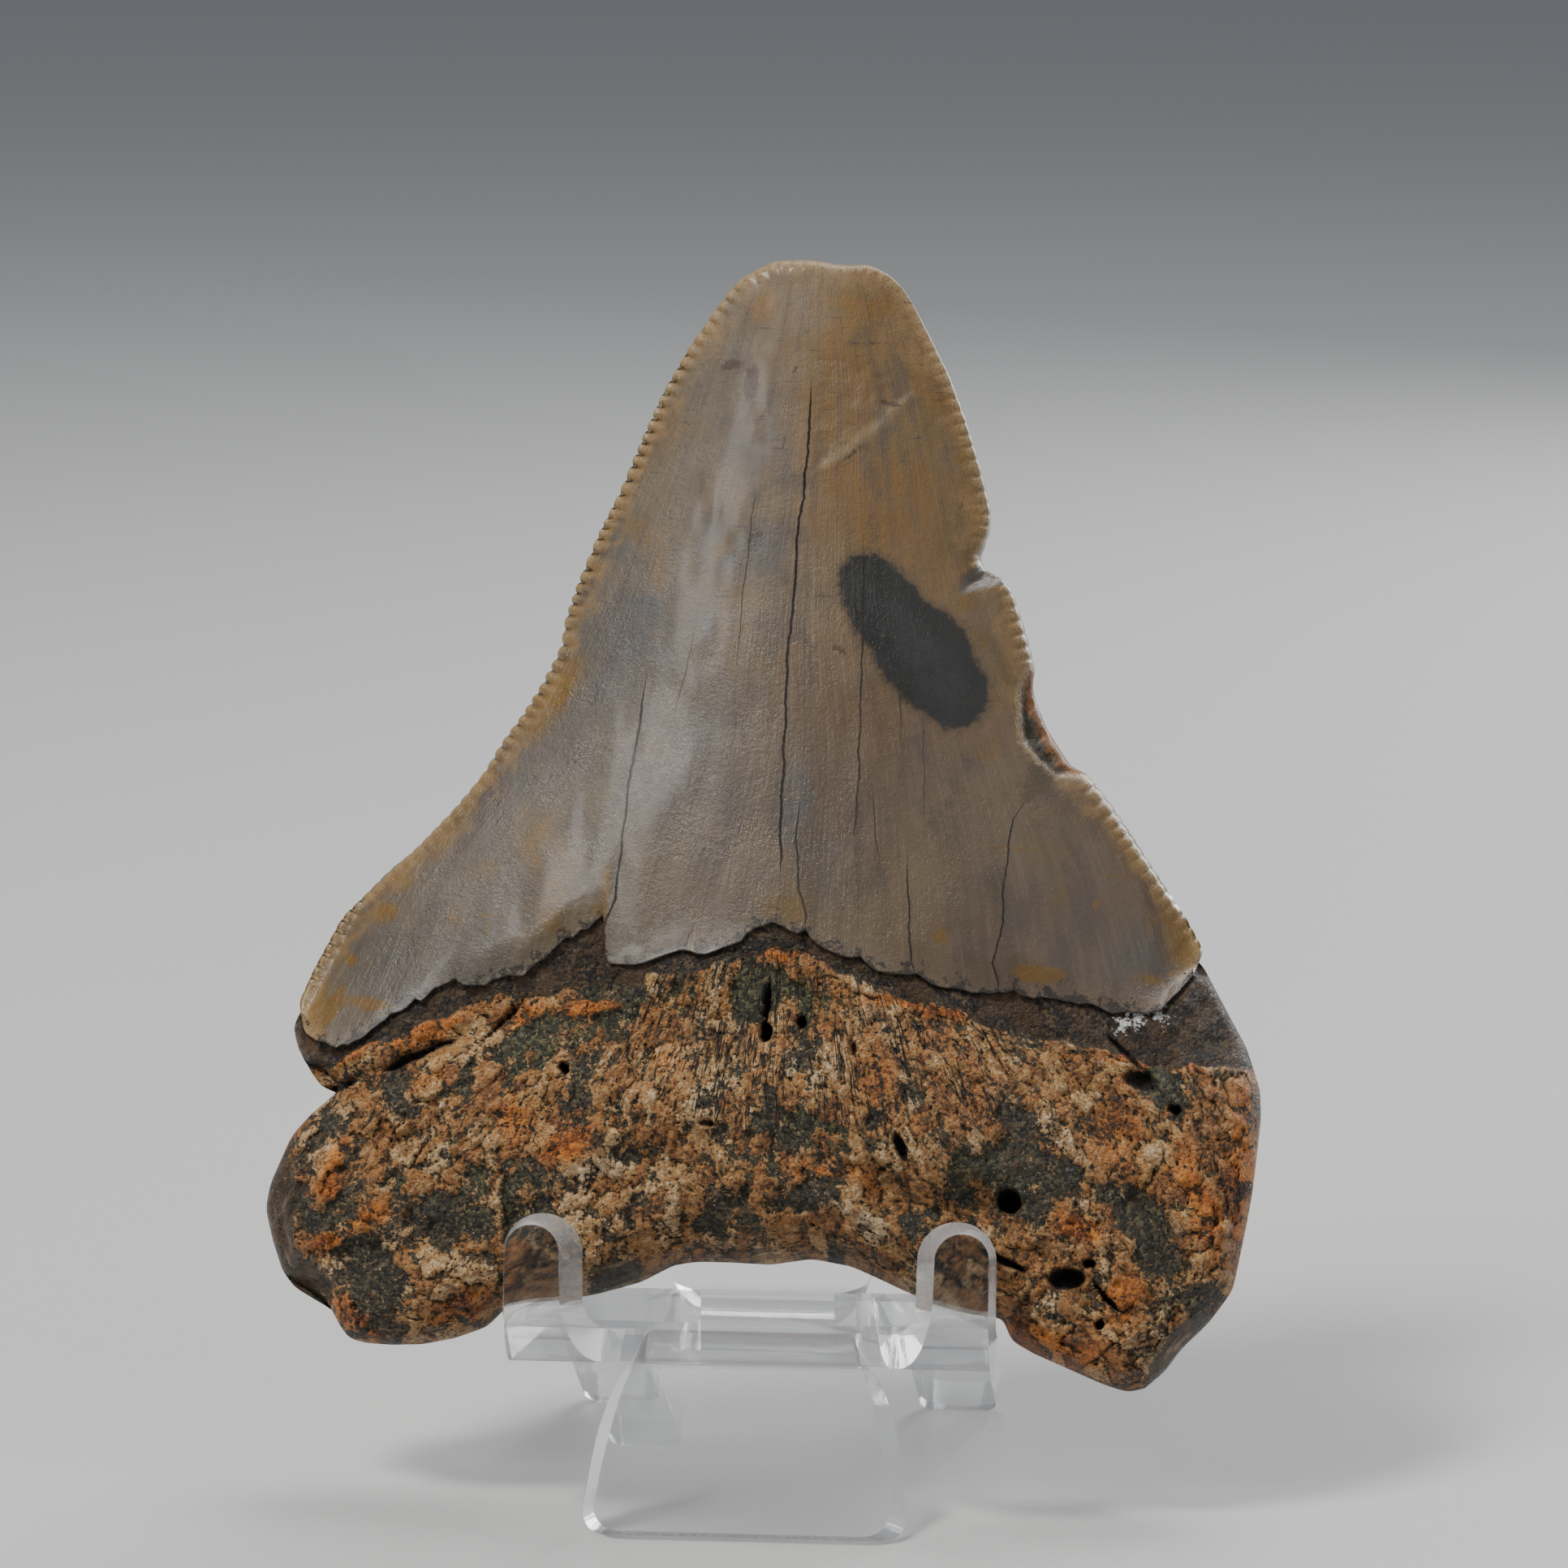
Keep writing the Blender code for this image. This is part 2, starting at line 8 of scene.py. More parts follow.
import bmesh
import bpy
import numpy as np
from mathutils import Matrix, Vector


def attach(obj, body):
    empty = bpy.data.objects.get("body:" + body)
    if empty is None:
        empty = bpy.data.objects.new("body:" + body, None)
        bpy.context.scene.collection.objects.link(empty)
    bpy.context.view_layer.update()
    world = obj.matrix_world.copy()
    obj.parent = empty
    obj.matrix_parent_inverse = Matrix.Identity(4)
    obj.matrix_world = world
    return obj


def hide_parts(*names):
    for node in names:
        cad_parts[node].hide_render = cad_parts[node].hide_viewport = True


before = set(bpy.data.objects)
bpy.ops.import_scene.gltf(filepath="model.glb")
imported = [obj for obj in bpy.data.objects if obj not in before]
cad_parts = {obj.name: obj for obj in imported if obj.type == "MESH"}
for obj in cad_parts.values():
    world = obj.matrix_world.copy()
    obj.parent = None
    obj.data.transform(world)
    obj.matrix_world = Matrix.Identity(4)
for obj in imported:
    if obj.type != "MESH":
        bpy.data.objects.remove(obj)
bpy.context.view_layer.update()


# The crown. A cap of enamel about a millimetre thick, grown over the tooth's core: flat, finely toothed
# along both cutting edges, worn blunt at the tip, broken at the right and split by long drying cracks.

MM = 0.001
LEAN = math.radians(14)
TOOTH_Y = -1.9
TOOTH_Z = 13.8

CROWN_BASE = [
    (-35.2, 20.2), (-34.6, 19.0), (-33.3, 18.2), (-32.3, 18.1), (-30.5, 18.3), (-28.6, 19.6), (-27.3, 20.9),
    (-25.1, 21.7), (-24.3, 22.4), (-21.3, 22.9), (-19.7, 22.9), (-17.8, 23.5), (-16.7, 24.4), (-15.4, 25.5),
    (-14.3, 26.1), (-12.7, 27.0), (-11.7, 28.0), (-11.4, 24.3), (-10.0, 24.2), (-8.3, 24.4), (-7.0, 25.0),
    (-5.4, 25.5), (-4.1, 24.9), (-2.7, 25.5), (-1.1, 26.1), (-0.7, 26.9), (0.9, 27.5), (2.2, 27.2),
    (2.8, 26.7), (3.5, 27.1), (4.1, 26.2), (5.8, 25.3), (6.9, 25.0), (7.5, 25.2), (8.5, 24.3), (9.9, 23.9),
    (11.2, 23.9), (11.6, 24.2), (12.8, 23.4), (13.9, 23.0), (15.6, 22.9), (17.1, 22.8), (18.7, 23.1),
    (19.6, 22.4), (21.1, 22.6), (22.5, 22.2), (24.2, 22.1), (25.7, 21.7), (27.1, 21.6), (28.7, 21.7),
    (29.6, 21.8), (30.4, 22.9), (31.6, 24.3), (32.0, 25.0),
]
REAR_BASE = [
    (-35.2, 20.2), (-33.0, 18.6), (-25.0, 17.8), (-12.0, 19.4), (0.0, 20.4), (12.0, 20.0), (25.0, 21.6),
    (30.0, 23.6), (32.0, 25.0),
]
CROWN_LEFT = [
    (-35.2, 20.2), (-35.6, 21.2), (-34.5, 24.0), (-32.5, 27.9), (-30.8, 29.6), (-29.0, 31.5), (-27.1, 33.1),
    (-24.4, 36.0), (-22.2, 38.7), (-20.7, 41.4), (-19.3, 43.3), (-17.8, 45.8), (-16.4, 48.6), (-16.2, 50.6),
    (-15.3, 53.4), (-13.7, 57.4), (-12.2, 60.5), (-10.5, 64.9), (-9.0, 68.3), (-7.1, 71.7), (-4.9, 74.9),
    (-3.4, 76.7),
]
CROWN_RIGHT = [
    (32.0, 25.0), (32.5, 26.6), (31.1, 29.1), (29.2, 31.8), (27.0, 35.1), (25.1, 37.8), (23.6, 39.6),
    (22.3, 40.2), (20.5, 42.9), (19.5, 45.2), (19.3, 46.3), (19.5, 47.5), (18.7, 50.3), (17.7, 53.2),
    (17.0, 54.2), (15.5, 54.9), (15.2, 55.7), (15.9, 57.8), (15.9, 59.3), (15.0, 62.7), (13.9, 66.1),
    (12.6, 69.4), (11.0, 72.5), (9.7, 74.9), (8.9, 76.1),
]
CROWN_TIP = [
    (-3.4, 76.7), (-2.3, 77.3), (-0.8, 78.1), (1.9, 78.2), (4.4, 77.8), (6.3, 77.9), (7.9, 77.1), (8.9, 76.1),
]
# The cutting edges before wear, and the height of the crown's middle over its rim: s and value
LENS_LEFT = [
    (17.0, -36.5), (31.0, -30.0), (40.0, -21.8), (49.5, -16.8), (60.5, -12.0), (72.0, -7.0), (79.0, -3.2),
]
LENS_RIGHT = [(17.0, 35.0), (32.0, 30.0), (40.5, 24.5), (49.0, 19.8), (58.0, 16.6), (67.0, 13.9), (79.0, 7.8)]
SWELL = [(20, 11.2), (30, 10.2), (40, 8.8), (50, 7.1), (60, 5.4), (70, 3.6), (76, 2.3), (79, 1.6)]


def smooth_step(value):
    """Three times the square less twice the cube of a value held between 0 and 1."""
    clipped = np.clip(value, 0.0, 1.0)
    return clipped * clipped * (3.0 - 2.0 * clipped)


def along_line(line, shares, soft):
    """Points of a line at the given shares of its length, after a running mean over the soft length in mm."""
    line = np.array(line, float)
    lengths = np.concatenate([[0.0], np.cumsum(np.hypot(*np.diff(line, axis=0).T))])
    fine = np.linspace(0.0, lengths[-1], 3000)
    path = np.column_stack([np.interp(fine, lengths, line[:, 0]), np.interp(fine, lengths, line[:, 1])])
    reach = max(1, int(soft / lengths[-1] * 3000 / 2))
    for _ in range(2):
        padded = np.vstack([2 * path[0] - path[reach:0:-1], path, 2 * path[-1] - path[-2:-reach - 2:-1]])
        total = np.cumsum(np.vstack([[0.0, 0.0], padded]), axis=0)
        path = (total[2 * reach + 1:] - total[:-2 * reach - 1]) / (2 * reach + 1)
    return np.column_stack([np.interp(shares * lengths[-1], fine, path[:, axis]) for axis in (0, 1)])


def smooth_table(table, at, soft=3.0):
    """A table's value at each s, averaged over a few mm so that its steps leave no crease."""
    shifts = np.linspace(-soft, soft, 7)
    return sum(np.interp(at + shift, *zip(*table)) for shift in shifts) / len(shifts)


def near_line(x, s, line):
    """The distance of each point from a line of straight runs, and the length along the line to the place."""
    distance = np.full(x.shape, 1e9)
    along = np.zeros(x.shape)
    gone = 0.0
    for start, end in zip(line[:-1], line[1:]):
        run = end - start
        length = np.hypot(*run)
        share = np.clip(((x - start[0]) * run[0] + (s - start[1]) * run[1]) / length**2, 0.0, 1.0)
        gap = np.hypot(x - start[0] - share * run[0], s - start[1] - share * run[1])
        closer = gap < distance
        distance = np.where(closer, gap, distance)
        along = np.where(closer, gone + share * length, along)
        gone += length
    return distance, along


def lumps(x, s, size, seed, cells=64):
    """Smooth noise between -1 and 1, from a seeded lattice of the given size in mm."""
    lattice = np.random.default_rng(seed).uniform(-1.0, 1.0, (cells, cells))
    across, up = x / size + 20.0, s / size + 20.0
    column, row = np.floor(across).astype(int), np.floor(up).astype(int)
    part_x, part_s = smooth_step(across - column), smooth_step(up - row)
    column, row = column % (cells - 1), row % (cells - 1)
    low = lattice[column, row] * (1 - part_x) + lattice[column + 1, row] * part_x
    high = lattice[column, row + 1] * (1 - part_x) + lattice[column + 1, row + 1] * part_x
    return low * (1 - part_s) + high * part_s


def ragged(x, s, size, seed, octaves=4, fall=0.55):
    """Several layers of lumps, each half the size of the one before and weaker by the fall."""
    total = np.zeros(x.shape)
    for octave in range(octaves):
        turn = 0.6 * octave
        a = x * math.cos(turn) - s * math.sin(turn)
        b = x * math.sin(turn) + s * math.cos(turn)
        total += fall**octave * lumps(a, b, size / 2**octave, seed + octave, 512)
    return total


def turned(x, s, x_mid, s_mid, turn):
    """How far each point lies from a middle, along and across a direction that is turned by some degrees."""
    angle = math.radians(turn)
    a = (x - x_mid) * math.cos(angle) + (s - s_mid) * math.sin(angle)
    b = (s - s_mid) * math.cos(angle) - (x - x_mid) * math.sin(angle)
    return a, b


def patches(x, s, spots):
    """The sum of soft oval spots, each given by x, s, half length, half width, turn and strength."""
    total = np.zeros(x.shape)
    for x_mid, s_mid, long, wide, turn, strength in spots:
        a, b = turned(x, s, x_mid, s_mid, turn)
        total += strength * np.exp(-((a / long) ** 2 + (b / wide) ** 2) ** 1.5)
    return total


def patch_grid(bottom, top, left, right, u, v):
    """The sheet between four edge lines: the two ruled sheets added, less the one through the corners."""
    u, v = u[None, :, None], v[:, None, None]
    ruled = (1 - v) * bottom[None] + v * top[None] + (1 - u) * left[:, None] + u * right[:, None]
    low = (1 - u) * bottom[0] + u * bottom[-1]
    high = (1 - u) * top[0] + u * top[-1]
    return ruled - (1 - v) * low - v * high


def to_world(x, s, d):
    """Metres in the model's frame of points of the tooth's frame, which leans back about the x axis."""
    y = TOOTH_Y + s * math.sin(LEAN) - d * math.cos(LEAN)
    z = TOOTH_Z + s * math.cos(LEAN) + d * math.sin(LEAN)
    return np.stack([x, y, z], axis=-1) * MM


def rim_depth(s):
    """Where the two faces meet: 6.2 mm out on the root, in mid thickness, eased to 2.5 mm on the crown."""
    return 6.2 - 3.7 * smooth_step((s - 8.0) / 18.0)


def rounded(distance, radius):
    """A quarter circle up from the rim, then level: the square root of 1 less the square of what is left
    of the radius, as a share of it."""
    return np.sqrt(1.0 - (1.0 - np.clip(distance / radius, 0.0, 1.0)) ** 2)


def lens(x, s):
    """A place between the two cutting edges, -1 at the left one and 1 at the right one, gives 1 less its
    square: 0 at both edges and 1 midway. Both are returned."""
    left, right = smooth_table(LENS_LEFT, s), smooth_table(LENS_RIGHT, s)
    side = (2 * x - left - right) / (right - left)
    return np.clip(1.0 - side * side, 0.0, 1.0), side


def root_form(x, s, edge, above):
    """The root's plain height over the rim: a level that falls with the square of x, a bell-shaped bulge in
    the middle, and the saddle that leads up to the crown and fades out 5 mm below the enamel, all rounded
    off over the last 5 mm to the rim."""
    bulge = 4.2 * np.exp(-((x / 17.0) ** 2) - ((s - 15.0) / 8.5) ** 2)
    saddle = 2.9 * np.exp(-(np.abs(x / 14.0) ** 2.6) - (np.minimum(above, 0.0) / 5.0) ** 2)
    return (6.3 - 2.6 * (x / 32.0) ** 2 + bulge + saddle) * rounded(edge, 5.0)


def enamel_height(x, s, edge, above):
    """The crown's height over the rim: the swell times a power of the lens, held under a steep square root
    of the distance from the edges by the joint fourth root of both, and let into the root's form over the
    lowest few mm."""
    across, _ = lens(x, s)
    swell = smooth_table(SWELL, s) * across**0.85
    steep = 2.6 * np.sqrt(edge)
    height = swell * steep / (swell**4 + steep**4 + 1e-9) ** 0.25
    height += 0.10 * lumps(x, s, 7.0, 11) * smooth_step(edge / 3.0)
    blend = smooth_step((above + 1.0) / 4.0)
    return root_form(x, s, edge, above) * (1 - blend) + height * blend


def from_rim(x, s, left, end, right, every, steps):
    """The distance of each point of a grid from its rim, which is the outline less the base line, and the
    length along the rim to the nearest place."""
    rim = np.vstack([left[::every], along_line(end, np.linspace(0, 1, steps), 0.8), right[::-every]])
    edge, along = near_line(x, s, rim)
    edge[:, [0, -1]] = 0.0
    edge[-1] = 0.0
    return edge, along


def quad_corners(number):
    """The corner numbers of each quad of a grid of numbered points."""
    return np.stack([number[:-1, :-1], number[:-1, 1:], number[1:, 1:], number[1:, :-1]], -1).reshape(-1, 4)


def placed(name, data):
    """A new object of the scene."""
    made = bpy.data.objects.new(name, data)
    bpy.context.scene.collection.objects.link(made)
    return made


def closed_shell(name, front, back):
    """A mesh of a front and a back face, each given by grids of x, s and d and by its shading fields. They
    share their sides and their last row. The back has half the columns, so five-cornered faces join the two
    at the first and last rows."""
    front_points, back_points = to_world(*front[:3]), to_world(*back[:3])
    rows, columns = front_points.shape[:2]
    ahead = np.arange(rows * columns).reshape(rows, columns)
    behind = np.full((rows, back_points.shape[1]), -1)
    behind[:, 0] = ahead[:, 0]
    behind[:, -1] = ahead[:, -1]
    behind[-1] = ahead[-1, ::2]
    own = behind < 0
    behind[own] = rows * columns + np.arange(own.sum())
    quads = np.vstack([quad_corners(ahead), quad_corners(behind[:-1])[:, [0, 3, 2, 1]]])
    seam = np.stack(
        [behind[-2, :-1], ahead[-1, :-2:2], ahead[-1, 1::2], ahead[-1, 2::2], behind[-2, 1:]], -1
    )
    lid = np.stack([ahead[0, :-2:2], behind[0, :-1], behind[0, 1:], ahead[0, 2::2], ahead[0, 1::2]], -1)
    faces = quads.tolist() + seam.tolist() + lid[1:-1].tolist()
    faces += [lid[0][[0, 2, 3, 4]].tolist(), lid[-1][[0, 1, 3, 4]].tolist()]
    mesh = bpy.data.meshes.new(name)
    mesh.from_pydata(np.vstack([front_points.reshape(-1, 3), back_points[own]]).tolist(), [], faces)
    mesh.polygons.foreach_set("use_smooth", np.ones(len(mesh.polygons), bool))
    shell = bmesh.new()
    shell.from_mesh(mesh)
    bmesh.ops.recalc_face_normals(shell, faces=shell.faces)
    shell.to_mesh(mesh)
    shell.free()
    for label, field in front[3].items():
        values = np.concatenate([field.reshape(-1, 3), back[3][label][own]])
        mesh.attributes.new(label, "FLOAT_VECTOR", "POINT").data.foreach_set("vector", values.ravel())
    return placed(name, mesh)


CROWN_COLUMNS = 69
CROWN_ROWS = 450
crown_v = np.linspace(0.0, 1.0, CROWN_ROWS)
crown_left = along_line(CROWN_LEFT, crown_v, 1.2)
crown_right = along_line(CROWN_RIGHT, crown_v, 0.8)

# Cracks of the enamel, as x and s from the tip down, with the half width of each in mm
CRACKS = [
    ([(2.5, 69.2), (2.5, 64.7), (2.3, 60.3), (1.9, 56.2), (1.8, 52.6), (1.5, 48.4), (1.5, 42.9), (1.4, 37.3),
      (1.5, 31.6)], 0.074),
    ([(-9.1, 47.0), (-9.4, 44.3), (-9.8, 40.4), (-10.2, 38.8), (-10.3, 35.5), (-10.7, 31.7), (-10.9, 29.2),
      (-11.4, 27.8), (-11.5, 26.6)], 0.068),
    ([(20.0, 38.4), (18.4, 35.8), (18.1, 33.1), (17.8, 30.4), (17.9, 27.4), (17.3, 25.0),
      (17.8, 22.8)], 0.056),
    ([(2.8, 37.8), (2.6, 33.5), (2.9, 30.0), (3.5, 28.1), (3.5, 27.0)], 0.050),
    ([(6.8, 57.1), (7.0, 48.6), (7.0, 41.7), (7.0, 37.4), (6.9, 34.1)], 0.050),
    ([(10.6, 33.7), (11.0, 28.8), (11.5, 24.0)], 0.056),
    ([(-5.5, 51.1), (-5.9, 47.6), (-6.9, 43.2)], 0.037),
    ([(-1.4, 61.4), (-1.6, 56.7), (-2.1, 52.5), (-2.3, 47.0)], 0.031),
    ([(9.7, 48.7), (9.9, 45.0), (10.0, 41.8)], 0.037),
    ([(8.0, 39.0), (8.3, 35.6), (8.7, 32.3)], 0.037),
    ([(11.5, 45.2), (11.7, 40.6), (11.9, 36.1)], 0.031),
    ([(-4.2, 28.6), (-5.0, 26.6), (-5.6, 25.0)], 0.043),
]
DARK_SPOT = [
    (5.1, 54.3), (5.9, 55.3), (7.6, 55.6), (9.3, 54.6), (10.7, 53.2), (11.5, 51.9), (13.2, 51.3),
    (14.6, 49.8), (15.2, 48.1), (16.2, 46.4), (16.4, 44.6), (15.6, 43.2), (14.4, 42.3), (13.2, 42.3),
    (12.1, 43.1), (10.6, 43.9), (9.7, 45.0), (8.6, 46.0), (7.5, 48.2), (6.1, 49.9), (5.3, 51.8), (5.0, 53.1),
]
# A healed wound: a pale ridge, with the enamel to its upper left sunk and rough
RIDGE = np.array([(10.0, 67.6), (8.7, 66.3), (7.4, 64.9), (5.8, 63.5), (3.6, 61.8)])
ROUGH_PATCH = [(9.6, 67.8), (8.2, 65.8), (5.8, 63.6), (3.2, 61.9), (2.6, 66.0), (3.2, 70.2), (6.5, 70.0)]
# The break of the right edge, the fragment under it, and the facet of the chip above it
BREAK = [
    (19.1, 47.2), (18.5, 45.7), (18.6, 43.8), (18.9, 41.8), (20.1, 40.3), (21.3, 39.3), (23.6, 39.5),
    (24.0, 41.0), (22.0, 45.0), (20.5, 47.5),
]
FRAGMENT = [(19.3, 39.2), (20.5, 40.5), (21.8, 39.8), (21.1, 38.3), (19.6, 36.8), (18.9, 37.4)]
CHIP = [
    (13.8, 52.6), (14.0, 54.2), (15.0, 55.0), (15.1, 56.4), (15.9, 57.6), (17.6, 56.0), (17.8, 53.9),
    (16.2, 53.3),
]
# The chipped lower left corner
CORNER = [(-36.0, 22.0), (-34.6, 21.8), (-33.6, 19.8), (-33.0, 18.9), (-34.0, 18.0), (-36.0, 19.0)]
# Soft colour patches of the enamel: x, s, half length, half width, turn, strength
OCHRE = [
    (-1.4, 74.5, 1.9, 1.5, 60, 0.9), (6.2, 74.6, 2.9, 1.8, -15, 1.0), (11.5, 66.6, 2.0, 2.6, 0, 0.9),
    (3.8, 65.8, 1.6, 3.4, -5, 0.85), (5.8, 69.6, 3.0, 2.2, 10, 0.7), (4.4, 60.4, 0.7, 0.6, 0, 0.9),
    (14.0, 63.2, 0.9, 0.6, 10, 0.9), (-3.9, 55.7, 1.2, 0.6, 50, 0.8), (-10.2, 57.0, 1.8, 1.1, -30, 0.55),
    (-8.6, 53.8, 0.8, 1.6, 0, 0.5), (-16.3, 45.1, 1.0, 0.8, 40, 1.6), (-17.3, 43.4, 2.4, 1.4, 55, 1.0),
    (-15.2, 46.4, 1.7, 1.5, 50, 0.8), (12.7, 56.0, 0.5, 3.2, 4, 0.6), (14.5, 52.0, 0.9, 0.7, 0, 1.0),
    (15.6, 49.4, 1.2, 0.9, 0, 1.0), (17.2, 46.3, 0.8, 2.6, 0, 0.7), (16.2, 41.0, 1.0, 0.9, 0, 0.5),
    (-16.8, 33.4, 2.2, 3.0, 30, 0.7), (-15.6, 28.6, 1.1, 2.6, 5, 0.6), (-29.1, 28.1, 1.2, 0.7, 10, 1.4),
    (-31.6, 24.6, 0.5, 0.5, 0, 1.2), (-27.3, 30.4, 0.8, 0.35, 40, 1.0), (-24.2, 34.0, 2.4, 0.8, 50, 0.8),
    (-20.9, 31.6, 0.9, 0.6, 0, 0.5), (-11.6, 30.5, 0.3, 1.8, 0, 1.5), (-12.0, 28.4, 0.5, 0.8, 0, 1.3),
    (1.9, 28.4, 1.8, 1.7, 0, 0.8), (3.0, 24.6, 3.0, 1.4, 0, 0.4), (21.9, 30.1, 0.8, 1.0, 0, 0.6),
    (28.6, 24.2, 1.1, 0.4, -10, 0.9), (20.9, 33.4, 2.0, 1.0, -8, 0.45), (30.8, 28.0, 1.2, 2.2, 30, 0.9),
    (31.4, 26.6, 1.6, 0.8, 25, 1.2), (27.2, 34.2, 1.6, 0.8, -50, 1.0), (25.2, 36.8, 1.4, 0.8, -50, 0.6),
    (-13.0, 60.0, 0.7, 3.0, -20, 0.4), (9.8, 61.5, 3.4, 3.0, 0, 0.4), (13.6, 57.6, 1.2, 2.6, 0, 0.5),
    (-33.9, 21.6, 0.8, 2.2, 10, 0.9), (-8.0, 65.0, 1.6, 2.6, -20, 0.35), (0.5, 70.6, 1.5, 1.5, 0, 0.3),
]
STAINS = [
    (-2.1, 68.4, 1.3, 0.6, 85, 1.1), (-3.7, 69.9, 0.9, 0.4, 10, 0.9), (5.3, 48.1, 0.6, 0.25, -35, 1.0),
    (13.3, 26.9, 0.6, 0.7, 20, 0.9), (20.6, 24.3, 1.9, 0.7, -3, 1.0), (-32.6, 21.0, 1.8, 0.6, 68, 1.0),
    (-29.8, 21.2, 2.0, 0.5, -10, 0.9), (-17.1, 32.0, 0.7, 0.7, 0, 0.5),
    (-21.0, 27.9, 3.0, 0.16, 2, 0.42), (-17.4, 28.6, 2.2, 0.15, 30, 0.42), (-23.6, 27.7, 0.5, 0.4, 0, 0.5),
    (-20.6, 26.9, 0.2, 1.0, 0, 0.5), (18.8, 33.6, 3.4, 0.16, -6, 0.45), (26.0, 31.9, 2.2, 0.18, 0, 0.5),
    (28.8, 28.4, 2.2, 0.2, 55, 0.5), (-1.4, 56.6, 1.7, 1.0, 15, 0.34), (6.6, 71.6, 2.8, 0.14, 3, 0.4),
    (-9.0, 59.4, 1.2, 0.14, -45, 0.5), (-7.6, 58.2, 0.9, 0.14, -30, 0.5), (8.4, 67.0, 0.9, 0.25, -10, 0.8),
    (5.6, 62.9, 1.4, 0.18, 42, 0.6), (-0.9, 66.2, 0.9, 0.2, 60, 0.5), (0.6, 63.8, 0.7, 0.2, 80, 0.5),
    (1.2, 69.4, 0.7, 0.18, 60, 0.5), (2.0, 72.4, 0.5, 0.15, 40, 0.5), (13.8, 59.6, 1.6, 0.12, 80, 0.4),
    (24.6, 29.6, 0.3, 0.4, 0, 0.8), (10.2, 40.9, 0.8, 0.16, 80, 0.8),
]
BLUE_GREY = [
    (-11.8, 48.6, 3.6, 5.4, -20, 0.75), (-2.2, 55.6, 3.4, 2.2, -10, 0.9), (-12.0, 56.2, 1.7, 1.1, -30, 0.9),
    (-18.4, 38.5, 5.6, 3.0, 50, 0.5), (-29.6, 24.5, 3.4, 2.6, 40, 0.35), (2.6, 36.0, 1.2, 3.6, 0, 1.0),
    (27.6, 25.6, 3.0, 2.6, 20, 0.6), (-1.0, 64.4, 2.6, 4.6, 0, 0.6), (-6.0, 42.0, 4.0, 8.0, 5, 0.35),
    (-9.6, 51.6, 1.4, 0.9, 0, 0.6), (-4.6, 50.0, 0.8, 1.2, 0, 0.6), (4.8, 31.4, 1.4, 3.0, 0, 0.5),
]


def inside(x, s, corners):
    """Whether each point lies in a polygon: a line to its right crosses the sides an odd number of times."""
    odd = np.zeros(x.shape, bool)
    for (x0, s0), (x1, s1) in zip(corners, corners[1:] + corners[:1]):
        odd ^= ((s0 > s) != (s1 > s)) & (x < (x1 - x0) * (s - s0) / (s1 - s0 + 1e-12) + x0)
    return odd


def into(x, s, corners):
    """The distance of each point from a polygon's outline, above 0 inside it and below 0 outside."""
    distance = near_line(x, s, np.array(corners + corners[:1]))[0]
    return np.where(inside(x, s, corners), distance, -distance)


# How far the matrix has eaten into the enamel's foot, in mm, by x
EATEN = [(-34, 0), (-32, 0.36), (-13, 0.36), (-11, 0.07), (12, 0.07), (16, 0.16), (30, 0.16), (32, 0)]
# Above the foot the grid follows the base line smoothed over this length; its steps fade by this power
CALM_LENGTH = 8.0
CALM_POWER = 6


def crown_sheet(base, columns, soft, uneven):
    """A grid over the crown from its base line to its tip, closer together near the two edges. The base
    line is broken up by noise where the matrix has eaten into it, and its steps fade out a few mm up."""
    even = np.linspace(0.0, 1.0, columns)
    u = 0.6 * even + 0.2 * (1 - np.cos(math.pi * even))
    line = along_line(base, u, soft)
    eaten = np.interp(line[:, 0], *zip(*EATEN))
    line[:, 1] += uneven * eaten * ragged(line[:, 0], 0 * line[:, 0], 1.3, 18, 3, 0.7)
    plain = along_line(base, u, CALM_LENGTH)
    grid = patch_grid(plain, along_line(CROWN_TIP, u, 0.8), crown_left, crown_right, u, crown_v)
    grid += (line - plain) * ((1 - crown_v) ** CALM_POWER)[:, None, None]
    return grid[..., 0], grid[..., 1]


# How strong the saw teeth still are, by the length in mm from the lower left corner round the tip
SAW_AT = [0, 18, 24, 32, 60, 66, 80, 92, 108, 114, 128, 150, 170]
SAW_WEAR = [0.25, 0.35, 0.7, 1.0, 1.0, 0.4, 0.10, 0.25, 0.35, 0.65, 0.30, 0.50, 0.25]
SAW_PITCH = 1.03
# How far the beads stand out and run in over the faces, and how far the rim draws in at their gaps, in mm
BEAD_HEIGHT = 0.42
BEAD_REACH = 0.95
GAP_DEPTH = 0.24
# The value of a distance field where its shape is absent
FAR = 9.0


